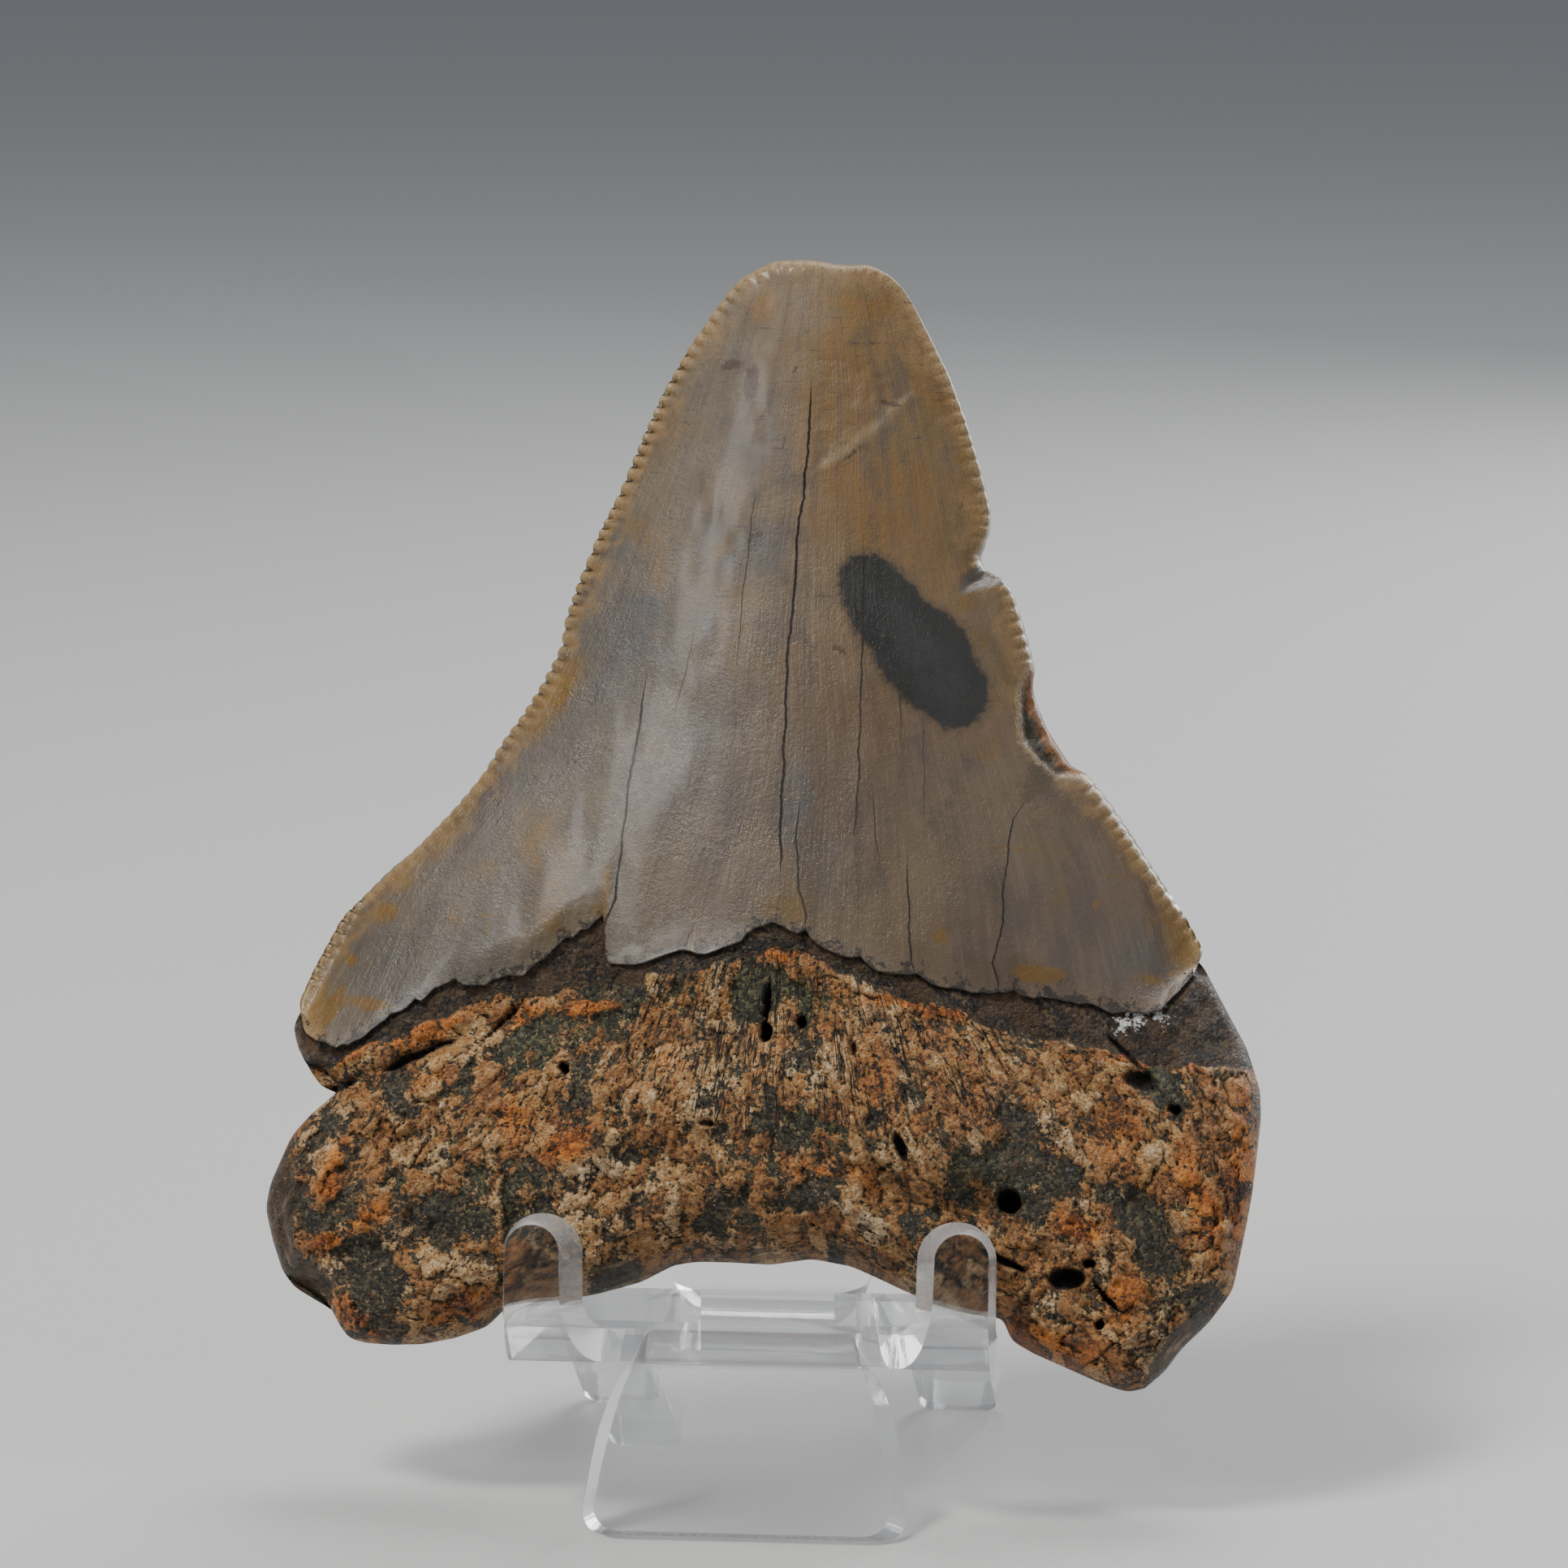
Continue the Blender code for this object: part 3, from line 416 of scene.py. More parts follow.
def crown_part(base, columns, soft, facing):
    """The points and shading fields of the crown's front (facing 1) or of its flatter back (facing 0)."""
    x, s = crown_sheet(base, columns, soft, facing)
    edge, along = from_rim(x, s, crown_left, CROWN_TIP, crown_right, 5, 24)
    above = np.maximum(s - s[0], 0.0)
    across, side = lens(x, s)
    # Saw teeth: rounded beads with a sharp gap between them, that run a millimetre in over both faces
    wear = np.interp(along, SAW_AT, SAW_WEAR) * (1 + 0.35 * lumps(along, 0 * along, 2.3, 21))
    wear *= 1 - smooth_step((into(x, s, BREAK) + 0.9) / 0.6)
    phase = (along + 0.3 * lumps(along, 0 * along, 3.1, 22)) / SAW_PITCH
    bead = np.abs(np.sin(math.pi * phase)) ** 0.6
    fade = np.exp(-((edge / BEAD_REACH) ** 2.5))
    swelling = BEAD_HEIGHT * wear * (bead - 0.62) * fade * smooth_step(edge / 0.3 + 0.15)
    if facing:
        break_in, chip_in, corner_in = into(x, s, BREAK), into(x, s, CHIP), into(x, s, CORNER)
        d = rim_depth(s) + enamel_height(x, s, edge, above)
        rough = ragged(x, s, 0.9, 24, 3)
        gate = smooth_step(edge / 0.4)
        hollow = 0.75 + 0.25 * rough - 0.35 * smooth_step((1.1 - edge) / 0.6)
        d -= gate * smooth_step((break_in + 0.1) / 0.5) * hollow
        d -= gate * (0.55 + 0.1 * rough) * smooth_step((chip_in + 0.1) / 1.2)
        d -= gate * 0.18 * smooth_step((corner_in + 0.1) / 0.6)
        ripple = lumps(x, s * 0.16, 1.5, 25, 512) * smooth_step((across - 0.35) / 0.4)
        ripple *= 1 - 0.75 * smooth_step((s - 44) / 12)
        d += (0.055 * ripple + 0.03 * lumps(x, s * 0.4, 0.9, 26, 512)) * smooth_step(edge / 2.0)
        ridge = np.exp(-((near_line(x, s, RIDGE)[0] / 0.42) ** 2))
        rough_in = into(x, s, ROUGH_PATCH)
        d += 0.09 * ridge - smooth_step(rough_in / 1.5 + 0.5) * (0.10 + 0.06 * ragged(x, s, 0.8, 27, 2))
        d += swelling
    else:
        ridge = np.zeros(x.shape)
        rough_in = break_in = chip_in = corner_in = np.full(x.shape, -FAR)
        thick = np.minimum(2.3 * across**0.8, 1.4 * np.sqrt(edge))
        root = (rim_depth(s) - 0.5) * rounded(edge, 4.5) - 0.3
        blend = smooth_step((above + 1.0) / 3.0)
        d = rim_depth(s) - np.maximum(root * (1 - blend) + thick * blend, 0.0) - swelling
    # The rim itself draws in at each gap, along the grid's own rows
    pull = GAP_DEPTH * wear * (1 - bead) * fade
    step_x, step_s = np.gradient(x, axis=1), np.gradient(s, axis=1)
    length = np.hypot(step_x, step_s) + 1e-9
    inward = np.where(np.arange(columns) < columns / 2, 1.0, -1.0)[None]
    x = x + pull * inward * step_x / length
    s = s + pull * inward * step_s / length
    cracks = []
    for line, half in CRACKS:
        line = line[::-1]
        at = np.interp(s, [p[1] for p in line], [p[0] for p in line])
        at = at + 0.10 * lumps(s, 0 * s, 1.7, 31) + 0.04 * lumps(s, 0 * s, 0.5, 32)
        ends = smooth_step((s - line[0][1]) / 2.0 + 0.3) * smooth_step((line[-1][1] - s) / 4.0)
        cracks.append((x - at) / (half * ends * facing + 1e-3))
    spot = -into(x, s, DARK_SPOT) if facing else np.full(x.shape, FAR)
    fragment = into(x, s, FRAGMENT) if facing else np.full(x.shape, -FAR)
    fields = {
        "cracks_main": np.stack(cracks[0:3], -1),
        "cracks_fine": np.stack(cracks[3:6], -1),
        "cracks_faint": np.stack(cracks[6:9], -1),
        "cracks_hair": np.stack(cracks[9:12], -1),
        "marks": np.stack([spot, patches(x, s, STAINS) * facing, fragment], -1),
        "wounds": np.stack([break_in, chip_in, corner_in], -1),
        "tones": np.stack([patches(x, s, OCHRE), patches(x, s, BLUE_GREY), above], -1),
        "grain": np.stack([side * 20.0, s, edge], -1),
        "gaps": np.stack([wear * (1 - bead) * fade, ridge, rough_in], -1),
    }
    return x, s, d, fields


# The enamel's lower lip: its thickness, and its rows from the hidden one out, each with its rise behind the
# base line and its share of the thickness
LIP = 0.55
LIP_ROWS = [(0.5, 1.0), (0.05, 0.8), (0.0, 0.25)]


def with_lip(x, s, d, fields, thick):
    """Adds rows under the base line, so that the enamel ends in a thin lip turned in under itself."""
    fade = smooth_step(np.minimum(np.arange(x.shape[1]), np.arange(x.shape[1])[::-1]) / 4.0)
    more = len(LIP_ROWS)
    x = np.vstack([x[:1]] * more + [x])
    s = np.vstack([s[0] + up for up, _ in LIP_ROWS] + [s])
    d = np.vstack([d[0] - thick * drop * fade for _, drop in LIP_ROWS] + [d])
    return x, s, d, {label: np.concatenate([field[:1]] * more + [field]) for label, field in fields.items()}


enamel = closed_shell(
    "tooth_enamel",
    with_lip(*crown_part(CROWN_BASE, 2 * CROWN_COLUMNS + 1, 0.2, 1), LIP),
    with_lip(*crown_part(REAR_BASE, CROWN_COLUMNS + 1, 2.0, 0), -LIP),
)


def srgb(red, green, blue):
    """A linear colour from the 0 to 255 values of a screen colour."""
    shares = [value / 255 for value in (red, green, blue)]
    return (*[c / 12.92 if c < 0.04 else ((c + 0.055) / 1.055) ** 2.4 for c in shares], 1.0)


class Shader:
    """A Principled material and short ways to add nodes to it. Patterns are placed in millimetres."""

    def __init__(self, name):
        self.material = bpy.data.materials.new(name)
        self.material.use_nodes = True
        self.tree = self.material.node_tree
        self.surface = self.tree.nodes["Principled BSDF"]
        self.place = self.stretch(self.add("ShaderNodeTexCoord").outputs["Object"], (1000, 1000, 1000))

    def add(self, kind, settings=None, **inputs):
        node = self.tree.nodes.new(kind)
        for key, value in (settings or {}).items():
            setattr(node, key, value)
        for label, value in inputs.items():
            self.put(node.inputs[label.replace("_", " ")], value)
        return node

    def put(self, socket, value):
        if isinstance(value, bpy.types.NodeSocket):
            self.tree.links.new(value, socket)
        else:
            socket.default_value = value

    def finish(self, **inputs):
        """Sets the surface's own sockets."""
        for label, value in inputs.items():
            self.put(self.surface.inputs[label.replace("_", " ")], value)

    def maths(self, operation, *values, clamp=False):
        node = self.add("ShaderNodeMath", {"operation": operation, "use_clamp": clamp})
        for socket, value in zip(node.inputs, values):
            self.put(socket, value)
        return node.outputs[0]

    def times(self, first, second, clamp=False):
        return self.maths("MULTIPLY", first, second, clamp=clamp)

    def plus(self, *terms):
        """The sum of terms, each of them a value or a value and its weight."""
        total = None
        for term in terms:
            value = self.times(*term) if isinstance(term, tuple) else term
            total = value if total is None else self.maths("ADD", total, value)
        return total

    def most(self, first, *others):
        for other in others:
            first = self.maths("MAXIMUM", first, other)
        return first

    def field(self, name):
        return self.add("ShaderNodeAttribute", {"attribute_name": name}).outputs["Vector"]

    def split(self, vector):
        return self.add("ShaderNodeSeparateXYZ", Vector=vector).outputs

    def stretch(self, vector, scale, turn=0.0):
        return self.add("ShaderNodeMapping", Vector=vector, Scale=scale, Rotation=(0.0, turn, 0.0)).outputs[0]

    def noise(self, scale, detail=3.0, rough=0.55, vector=None, twist=0.0):
        return self.add(
            "ShaderNodeTexNoise", Vector=vector or self.place, Scale=scale, Detail=detail, Roughness=rough,
            Distortion=twist,
        ).outputs["Fac"]

    def cells(self, scale):
        return self.add("ShaderNodeTexVoronoi", Vector=self.place, Scale=scale)

    def between(self, value, low, high, out_low=0.0, out_high=1.0):
        """A value's place between two bounds, eased at both ends, mapped to the way between two others."""
        return self.add(
            "ShaderNodeMapRange", {"interpolation_type": "SMOOTHSTEP"}, Value=value, From_Min=low,
            From_Max=high, To_Min=out_low, To_Max=out_high,
        ).outputs[0]

    def frayed(self, value, noise, amount):
        """A value shifted by a noise, by up to the amount either way, so that its outline is ragged."""
        return self.plus(value, self.between(noise, 0.3, 0.7, -amount, amount))

    def mix(self, share, first, second):
        node = self.add("ShaderNodeMix", {"data_type": "RGBA", "clamp_factor": True})
        for socket, value in zip((node.inputs[0], node.inputs[6], node.inputs[7]), (share, first, second)):
            self.put(socket, value)
        return node.outputs[2]

    def paint(self, colour, *coats):
        """A colour under coats of paint, each given by its share and its screen colour."""
        for share, tint in coats:
            colour = self.mix(share, colour, srgb(*tint) if isinstance(tint, tuple) else tint)
        return colour

    def ramp(self, value, *stops):
        node = self.add("ShaderNodeValToRGB", Fac=value)
        marks = node.color_ramp.elements
        for place, _ in stops[1:-1]:
            marks.new(place)
        marks[0].position, marks[-1].position = stops[0][0], stops[-1][0]
        for mark, (_, tint) in zip(marks, stops):
            mark.color = srgb(*tint)
        return node.outputs["Color"]

    def bump(self, height, strength, distance):
        return self.add("ShaderNodeBump", Height=height, Strength=strength, Distance=distance * MM).outputs[0]


def crack_share(look, name, noise):
    """1 inside any of the three cracks of a field, where a crack runs from -1 to 1."""
    size = look.add("ShaderNodeVectorMath", {"operation": "ABSOLUTE"})
    look.put(size.inputs[0], look.field(name))
    a, b, c = look.split(size.outputs[0])
    nearest = look.maths("MINIMUM", look.maths("MINIMUM", a, b), c)
    return look.between(look.plus(nearest, noise), 0.75, 1.35, 1.0, 0.0)


look = Shader("enamel")
ochre, blue, above = look.split(look.field("tones"))
spot, stain, fragment = look.split(look.field("marks"))
break_in, chip_in, corner_in = look.split(look.field("wounds"))
side, height, rim = look.split(look.field("grain"))
gap, ridge, rough_in = look.split(look.field("gaps"))
cloud = look.noise(0.13, 5, 0.6)
mottle = look.noise(0.5, 5, 0.62)
blotch = look.noise(0.24, 6, 0.68, look.stretch(look.place, (1.0, 1.0, 0.55)))
speck = look.noise(2.6, 4, 0.6)
crumb = look.noise(4.5, 4, 0.65)
streak = look.noise(1.0, 4, 0.6, look.stretch(look.field("grain"), (0.9, 0.05, 0.0)))
hair = look.noise(1.0, 3, 0.6, look.stretch(look.field("grain"), (4.5, 0.14, 0.0)))
# Grey-tan below and yellower above, with clouds, blue-grey shadows, ochre patches and the rough wound
low = look.mix(look.between(side, -12.0, 10.0), srgb(73, 65, 55), srgb(81, 65, 49))
high = look.mix(look.between(side, -14.0, 8.0), srgb(84, 73, 57), srgb(101, 73, 30))
rusty = look.mix(look.between(mottle, 0.42, 0.6), srgb(86, 67, 19), srgb(101, 70, 12))
colour = look.paint(
    look.mix(look.between(height, 34.0, 64.0), low, high),
    (look.between(cloud, 0.40, 0.62, 0.0, 0.5), (94, 80, 58)),
    (look.between(blotch, 0.50, 0.64, 0.0, 0.65), (63, 54, 45)),
    (look.times(blue, look.between(mottle, 0.34, 0.58, 0.25, 1.0), clamp=True), (62, 61, 61)),
    (look.times(ochre, look.between(mottle, 0.28, 0.58, 0.4, 1.0), clamp=True), rusty),
    (look.between(look.frayed(rough_in, mottle, 1.6), -0.6, 1.4, 0.0, 0.75), (94, 68, 32)),
    (look.times(ridge, look.between(mottle, 0.35, 0.6, 0.0, 0.4)), (116, 98, 70)),
)
# The grain along the height, specks, the warm rim with a painted highlight along its edge and painted shade
# in its gaps, and dark matrix with painted shade on the lowest edge
foot = look.frayed(look.frayed(above, speck, 0.35), look.noise(1.1, 5, 0.7), 0.9)
colour = look.paint(
    colour,
    (look.between(streak, 0.42, 0.7, 0.0, 0.45), (58, 49, 40)),
    (look.between(hair, 0.52, 0.74, 0.0, 0.28), (106, 92, 72)),
    (look.between(speck, 0.55, 0.72, 0.0, 0.3), (54, 46, 37)),
    (look.between(crumb, 0.6, 0.75, 0.0, 0.25), (112, 98, 79)),
    # The warm rim and its cream edge: partly the thin enamel's own colour, partly a painted highlight on the
    # beads
    (look.between(look.frayed(rim, mottle, 1.0), 0.2, 2.4, 0.75, 0.0), (118, 91, 52)),
    (look.between(look.frayed(rim, crumb, 0.4), 0.1, 0.8, 0.6, 0.0), (142, 121, 84)),
    # Painted shade in the grooves between the rim's beads
    (look.times(look.between(gap, 0.25, 0.75), 0.75), (54, 39, 24)),
    # The lowest edge: partly dark matrix, partly painted shade on the lip that turns in under it
    (look.between(foot, 0.3, 0.5, 0.92, 0.0), (34, 27, 20)),
)
# Short dark scratches in three directions over the upper crown
for turn, spread in ((0.5, 0.30), (-0.9, 0.36), (1.5, 0.33)):
    line = look.noise(1.0, 2, 0.5, look.stretch(look.place, (0.36, 1.0, 5.0), turn))
    share = look.times(look.between(line, 0.655, 0.70), look.between(look.noise(spread, 2), 0.52, 0.6))
    share = look.times(share, look.between(height, 38.0, 54.0, 0.0, 0.55))
    colour = look.paint(colour, (share, (48, 42, 38)))
# Brown stains, and the dark oval spot with its olive rim
smear = look.mix(look.between(height, 28.0, 56.0), srgb(92, 66, 18), srgb(50, 36, 18))
blot = look.frayed(spot, look.noise(1.4, 5, 0.7), 0.22)
dark = look.paint(
    look.mix(look.between(blot, -2.4, -0.9), srgb(27, 27, 25), srgb(13, 11, 4)),
    (look.between(look.noise(0.5, 5, 0.7), 0.45, 0.6, 0.0, 0.7), (20, 17, 9)),
    (look.between(streak, 0.4, 0.7, 0.0, 0.45), (17, 16, 14)),
)
colour = look.paint(
    colour,
    (look.between(look.frayed(stain, speck, 0.22), 0.22, 0.6, 0.0, 0.85), smear),
    (look.between(blot, -0.1, 0.7, 0.75, 0.0), (71, 55, 31)),
    (look.between(blot, -0.35, 0.15, 1.0, 0.0), dark),
)
# The break with its orange edge and dark matrix, the fragment, the chip, the corner and the cracks
matrix = look.mix(look.between(crumb, 0.36, 0.66), srgb(18, 15, 11), srgb(71, 60, 43))
lining = look.mix(look.between(look.frayed(rim, speck, 0.3), 0.5, 0.9), srgb(104, 64, 22), matrix)
wound = look.frayed(break_in, crumb, 0.2)
jag = look.between(look.noise(4.0, 3), 0.3, 0.7, -0.35, 0.35)
main, fine, faint, faintest = [
    crack_share(look, name, jag) for name in ("cracks_main", "cracks_fine", "cracks_faint", "cracks_hair")
]
cracked = look.most(main, look.times(fine, 0.9), look.times(look.most(faint, faintest), 0.6))
colour = look.paint(
    colour,
    (look.between(wound, -0.45, -0.2, 0.0, 0.7), (132, 114, 88)),
    (look.between(wound, -0.05, 0.15), lining),
    (look.between(look.frayed(fragment, speck, 0.3), -0.1, 0.2, 0.0, 0.8), (68, 57, 41)),
    (look.between(chip_in, -0.05, 0.25, 0.0, 0.8), (80, 76, 70)),
    (look.between(look.frayed(corner_in, speck, 0.4), -0.1, 0.3, 0.0, 0.6), (122, 94, 54)),
    (cracked, (18, 13, 10)),
)
# Polished by age: glossier low down and along the rim, dull in the break and the cracks
shine = look.plus(
    look.between(look.noise(0.3, 4), 0.36, 0.64, 0.25, 0.42),
    look.between(height, 44.0, 62.0, 0.0, 0.2),
    (look.between(rim, 0.4, 1.6, 0.14, 0.0), -1.0),
    (look.most(look.between(wound, -0.05, 0.15), cracked), 0.4),
)
relief = look.plus(
    (hair, 0.5), (look.noise(1.6, 4, 0.6), 0.6), (crumb, 0.45), (look.noise(11.0, 2), 0.3), (cracked, -2.0)
)
look.finish(
    Base_Color=colour, Roughness=shine, IOR=1.46, Coat_Weight=0.12, Coat_Roughness=0.16,
    Normal=look.bump(relief, 0.85, 0.13),
)
enamel.data.materials.append(look.material)
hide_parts("megalodon_tooth")
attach(enamel, "root")


# The root. Porous fossil bone with two lobes, orange-brown crust worn through to a dark green-black matrix,
# fibres that fan out from the crown, and round holes where blood vessels passed. It is one with the crown.

ROOT_LEFT = [
    (-34.8, 21.4), (-35.5, 20.4), (-35.8, 19.4), (-35.3, 17.8), (-34.6, 16.7), (-33.3, 16.1), (-32.3, 15.7),
    (-31.8, 15.0), (-32.4, 14.3), (-33.8, 13.1), (-35.3, 11.3), (-36.8, 7.6), (-37.1, 5.8), (-36.5, 3.4),
    (-35.6, 0.9), (-33.1, -0.5), (-32.1, -1.3), (-31.2, -2.9),
]
ROOT_RIGHT = [
    (31.6, 26.2), (32.5, 25.4), (33.7, 23.2), (35.9, 19.3), (37.0, 16.1), (37.1, 14.0), (36.9, 11.6),
    (36.6, 8.5), (36.2, 6.1), (35.3, 1.3), (33.6, -1.1), (31.5, -3.2), (30.4, -4.8), (28.9, -6.1),
]
ROOT_FOOT = [
    (-31.2, -2.9), (-30.5, -3.8), (-29.3, -4.1), (-27.3, -4.2), (-25.0, -4.1), (-22.6, -3.6), (-20.2, -2.7),
    (-18.9, -1.3), (-17.4, -0.8), (-14.1, -0.5), (-11.7, 0.0), (-8.7, 0.9), (-6.3, 2.2), (-4.5, 2.5),
    (-2.1, 2.5), (1.0, 2.4), (4.0, 2.9), (7.0, 2.4), (8.9, 1.6), (10.7, 0.8), (13.1, -0.2), (15.8, -0.9),
    (18.3, -1.2), (19.0, -2.8), (20.6, -3.7), (23.5, -4.9), (25.9, -5.9), (27.7, -6.4), (28.9, -6.1),
]
BAND_FOOT = [
    (-33.5, 15.9), (-30.5, 17.0), (-27.5, 18.2), (-25.0, 19.4), (-20.9, 21.1), (-14.2, 22.3), (-9.4, 22.8),
    (-6.4, 23.8), (-2.2, 24.5), (0.8, 25.3), (3.8, 25.0), (7.5, 23.7), (10.5, 22.0), (14.1, 21.5),
    (18.4, 19.7), (24.4, 19.0), (29.0, 17.8), (33.0, 17.2),
]
# Holes: x, s, half length, half width, turn, depth
HOLES = [
    (0.9, 19.4, 0.40, 0.80, 0, 2.4), (0.9, 21.4, 0.22, 1.7, 0, 1.3), (3.4, 20.2, 0.36, 0.42, 0, 1.6),
    (-14.0, 16.5, 0.32, 0.5, 30, 1.4), (18.9, 7.4, 0.92, 0.92, 0, 3.4), (11.1, 11.2, 0.4, 1.1, 20, 1.4),
    (23.2, 1.8, 1.4, 0.75, 5, 1.9), (24.9, 3.0, 0.6, 0.3, 0, 1.5), (25.7, -1.5, 0.38, 0.38, 0, 1.5),
    (18.5, 3.0, 1.9, 0.26, -28, 1.3), (26.2, 0.6, 1.5, 0.22, -48, 1.3), (30.7, 14.5, 0.5, 0.3, 0, 1.4),
    (28.2, 16.6, 1.3, 0.7, -20, 0.9), (27.0, 18.6, 1.8, 0.2, -42, 0.9), (-31.6, 14.9, 1.6, 0.3, 25, 1.2),
    (-25.5, 17.4, 3.2, 0.35, 24, 1.0), (-19.2, 20.0, 2.6, 0.22, 45, 0.8), (4.6, 22.6, 0.12, 1.2, 5, 0.6),
    (-10.6, 23.3, 1.2, 0.2, 60, 0.5), (7.3, 18.4, 0.2, 0.8, 10, 0.6), (-3.2, 12.6, 0.6, 0.3, 0, 0.8),
]
VALLEYS = [
    ([(-17.0, 5.5), (-7.0, 9.5), (-0.5, 12.5), (4.5, 10.0), (11.5, 7.5), (17.0, 7.5)], 1.7, 0.9),
    ([(17.0, 7.5), (21.0, 3.5), (27.0, -1.0)], 1.5, 0.8),
    ([(-33.0, 14.0), (-24.0, 18.0), (-18.0, 20.6)], 1.0, 0.9),
    ([(19.5, 20.5), (24.5, 15.5), (29.0, 9.5), (31.0, 3.0)], 1.2, 0.7),
    ([(-30.5, 2.5), (-24.0, 4.0), (-17.0, 2.0)], 1.4, 0.7),
]
# Where the dark matrix lies bare, and where the crust is thick and bright
BARE = [
    (-16.0, 19.4, 3.6, 1.6, 30, 0.6), (-8.0, 21.5, 3.6, 1.8, 20, 0.75), (-31.5, 12.4, 2.2, 1.2, 50, 0.6),
    (-35.0, 7.0, 1.8, 5.5, 15, 0.55), (-22.6, 4.5, 2.4, 2.2, 0, 0.75), (-17.0, 8.4, 3.2, 1.6, 10, 0.8),
    (-28.5, 0.5, 2.2, 2.4, 0, 0.7), (-28.4, -3.0, 2.2, 0.9, 0, 0.8), (-9.5, 10.4, 5.0, 1.3, 16, 0.65),
    (-4.0, 6.0, 6.0, 2.0, 10, 0.5), (6.0, 12.2, 4.2, 1.2, -14, 0.8), (1.5, 22.4, 5.0, 1.8, 0, 0.75),
    (19.6, 8.6, 4.6, 2.6, -28, 0.75), (29.0, 16.4, 2.6, 1.5, -20, 0.7), (34.0, 19.5, 2.6, 3.0, 0, 0.5),
    (29.6, 5.4, 5.0, 1.3, -60, 0.7), (31.0, -3.6, 4.0, 1.5, 45, 0.5), (18.5, 13.4, 1.8, 2.6, -20, 0.35),
    (10.5, 11.6, 1.3, 2.4, 20, 0.5), (-13.2, 13.2, 1.6, 1.3, 0, 0.5), (-24.0, 12.6, 2.0, 1.3, 20, 0.4),
    (-33.0, 1.0, 2.5, 1.4, -50, 0.4), (-1.5, 12.8, 1.4, 3.0, 10, 0.5), (13.0, 4.8, 3.6, 0.8, -30, 0.5),
    (24.5, 6.2, 3.2, 0.8, -40, 0.5), (23.5, 17.8, 2.0, 0.7, -20, 0.4), (3.0, 8.0, 3.0, 1.4, 0, 0.4),
]
BRIGHT = [
    (-25.0, 19.3, 3.0, 0.8, 22, 1.1), (-30.4, 17.5, 2.0, 0.6, 25, 1.1), (-17.4, 20.4, 1.6, 0.7, 35, 1.0),
    (-12.4, 21.4, 2.4, 0.6, 12, 1.1), (-31.8, 8.6, 0.8, 2.2, -22, 1.0), (-28.4, 5.2, 0.8, 1.8, -45, 0.9),
    (-31.5, 3.4, 1.4, 0.7, 25, 0.9), (-13.5, 10.6, 1.9, 1.0, 18, 0.9), (-17.5, 12.4, 1.4, 1.6, 0, 0.6),
    (29.8, 17.9, 3.4, 0.6, -5, 1.1), (35.9, 9.5, 0.9, 6.5, 0, 0.9), (32.8, 7.5, 1.1, 4.6, 18, 0.9),
    (24.2, 5.4, 1.6, 1.0, -10, 0.8), (27.5, 0.4, 1.6, 2.2, -30, 0.7), (21.5, -2.6, 5.5, 1.1, -18, 0.8),
    (1.4, 25.6, 1.5, 0.6, 0, 1.2), (12.5, 21.4, 4.0, 0.5, -8, 0.9), (-30.0, -1.8, 2.2, 0.8, -45, 0.8),
    (6.5, 9.2, 3.6, 0.8, -15, 0.5), (-6.0, 17.5, 1.4, 1.0, 20, 0.4), (27.0, 12.0, 1.8, 2.6, 20, 0.4),
    (-21.0, -1.0, 2.6, 0.9, 25, 0.6), (-24.4, 15.4, 1.8, 0.8, 35, 0.5), (9.0, 16.0, 1.4, 2.0, 0, 0.3),
]
# Paler, drier crust; olive green matrix; and worn, glossy rims
PALE = [
    (-3.6, 15.4, 3.6, 2.6, -20, 0.9), (1.6, 17.0, 2.4, 1.8, 0, 0.7), (-12.0, 8.6, 4.6, 1.2, 20, 0.8),
    (8.6, 5.4, 4.6, 0.9, -28, 1.0), (-22.0, 10.6, 4.6, 2.4, 35, 0.5), (20.0, 17.0, 4.0, 1.2, -12, 0.5),
    (-26.0, 2.0, 2.0, 1.0, 0, 0.4), (23.4, 3.8, 1.4, 0.8, 0, 0.7), (5.5, 15.6, 2.4, 1.6, -20, 0.6),
]
GREEN = [
    (-7.0, 21.0, 5.0, 2.2, 20, 0.9), (2.0, 22.6, 5.0, 2.2, 0, 1.0), (-15.6, 18.4, 3.6, 2.0, 30, 0.8),
    (6.0, 12.4, 4.0, 1.6, -12, 1.0), (17.0, 9.0, 3.6, 2.2, -30, 0.7), (28.6, 16.6, 2.2, 1.4, -20, 0.9),
    (19.5, 16.4, 3.4, 1.4, -15, 0.6), (-19.0, 8.0, 4.0, 2.2, 15, 0.5), (-2.0, 9.6, 4.0, 1.4, 0, 0.5),
    (33.0, 12.6, 1.6, 1.6, 0, 0.8),
]
WORN = [
    (-36.0, 6.4, 1.6, 6.0, 8, 1.2), (-34.0, 0.6, 1.6, 1.6, -40, 0.9), (-34.6, 18.2, 1.4, 2.0, 10, 1.0),
    (31.4, -3.4, 3.8, 1.3, 48, 1.1), (36.8, 14.6, 0.8, 2.6, 0, 0.7), (35.4, 19.6, 1.0, 3.0, -25, 0.7),
]
# Where white mineral dust clings
CHALK = [(27.6, 21.2, 1.7, 0.7, 35, 1.0), (29.6, 21.6, 0.5, 0.9, 0, 0.7), (21.0, 24.0, 0.7, 0.3, 0, 0.5)]
# The level of bareness above which the crust is gone, and the point that the fibres fan out from
CRUSTLESS = 0.36
FAN_X, FAN_S = 1.5, 48.0
ROOT_COLUMNS = 198
ROOT_ROWS = 160
root_even = np.linspace(0.0, 1.0, ROOT_ROWS)
root_v = 0.35 * root_even + 0.65 * np.sin(math.pi / 2 * root_even)
root_left = along_line(ROOT_LEFT, root_v, 0.8)
root_right = along_line(ROOT_RIGHT, root_v, 1.0)


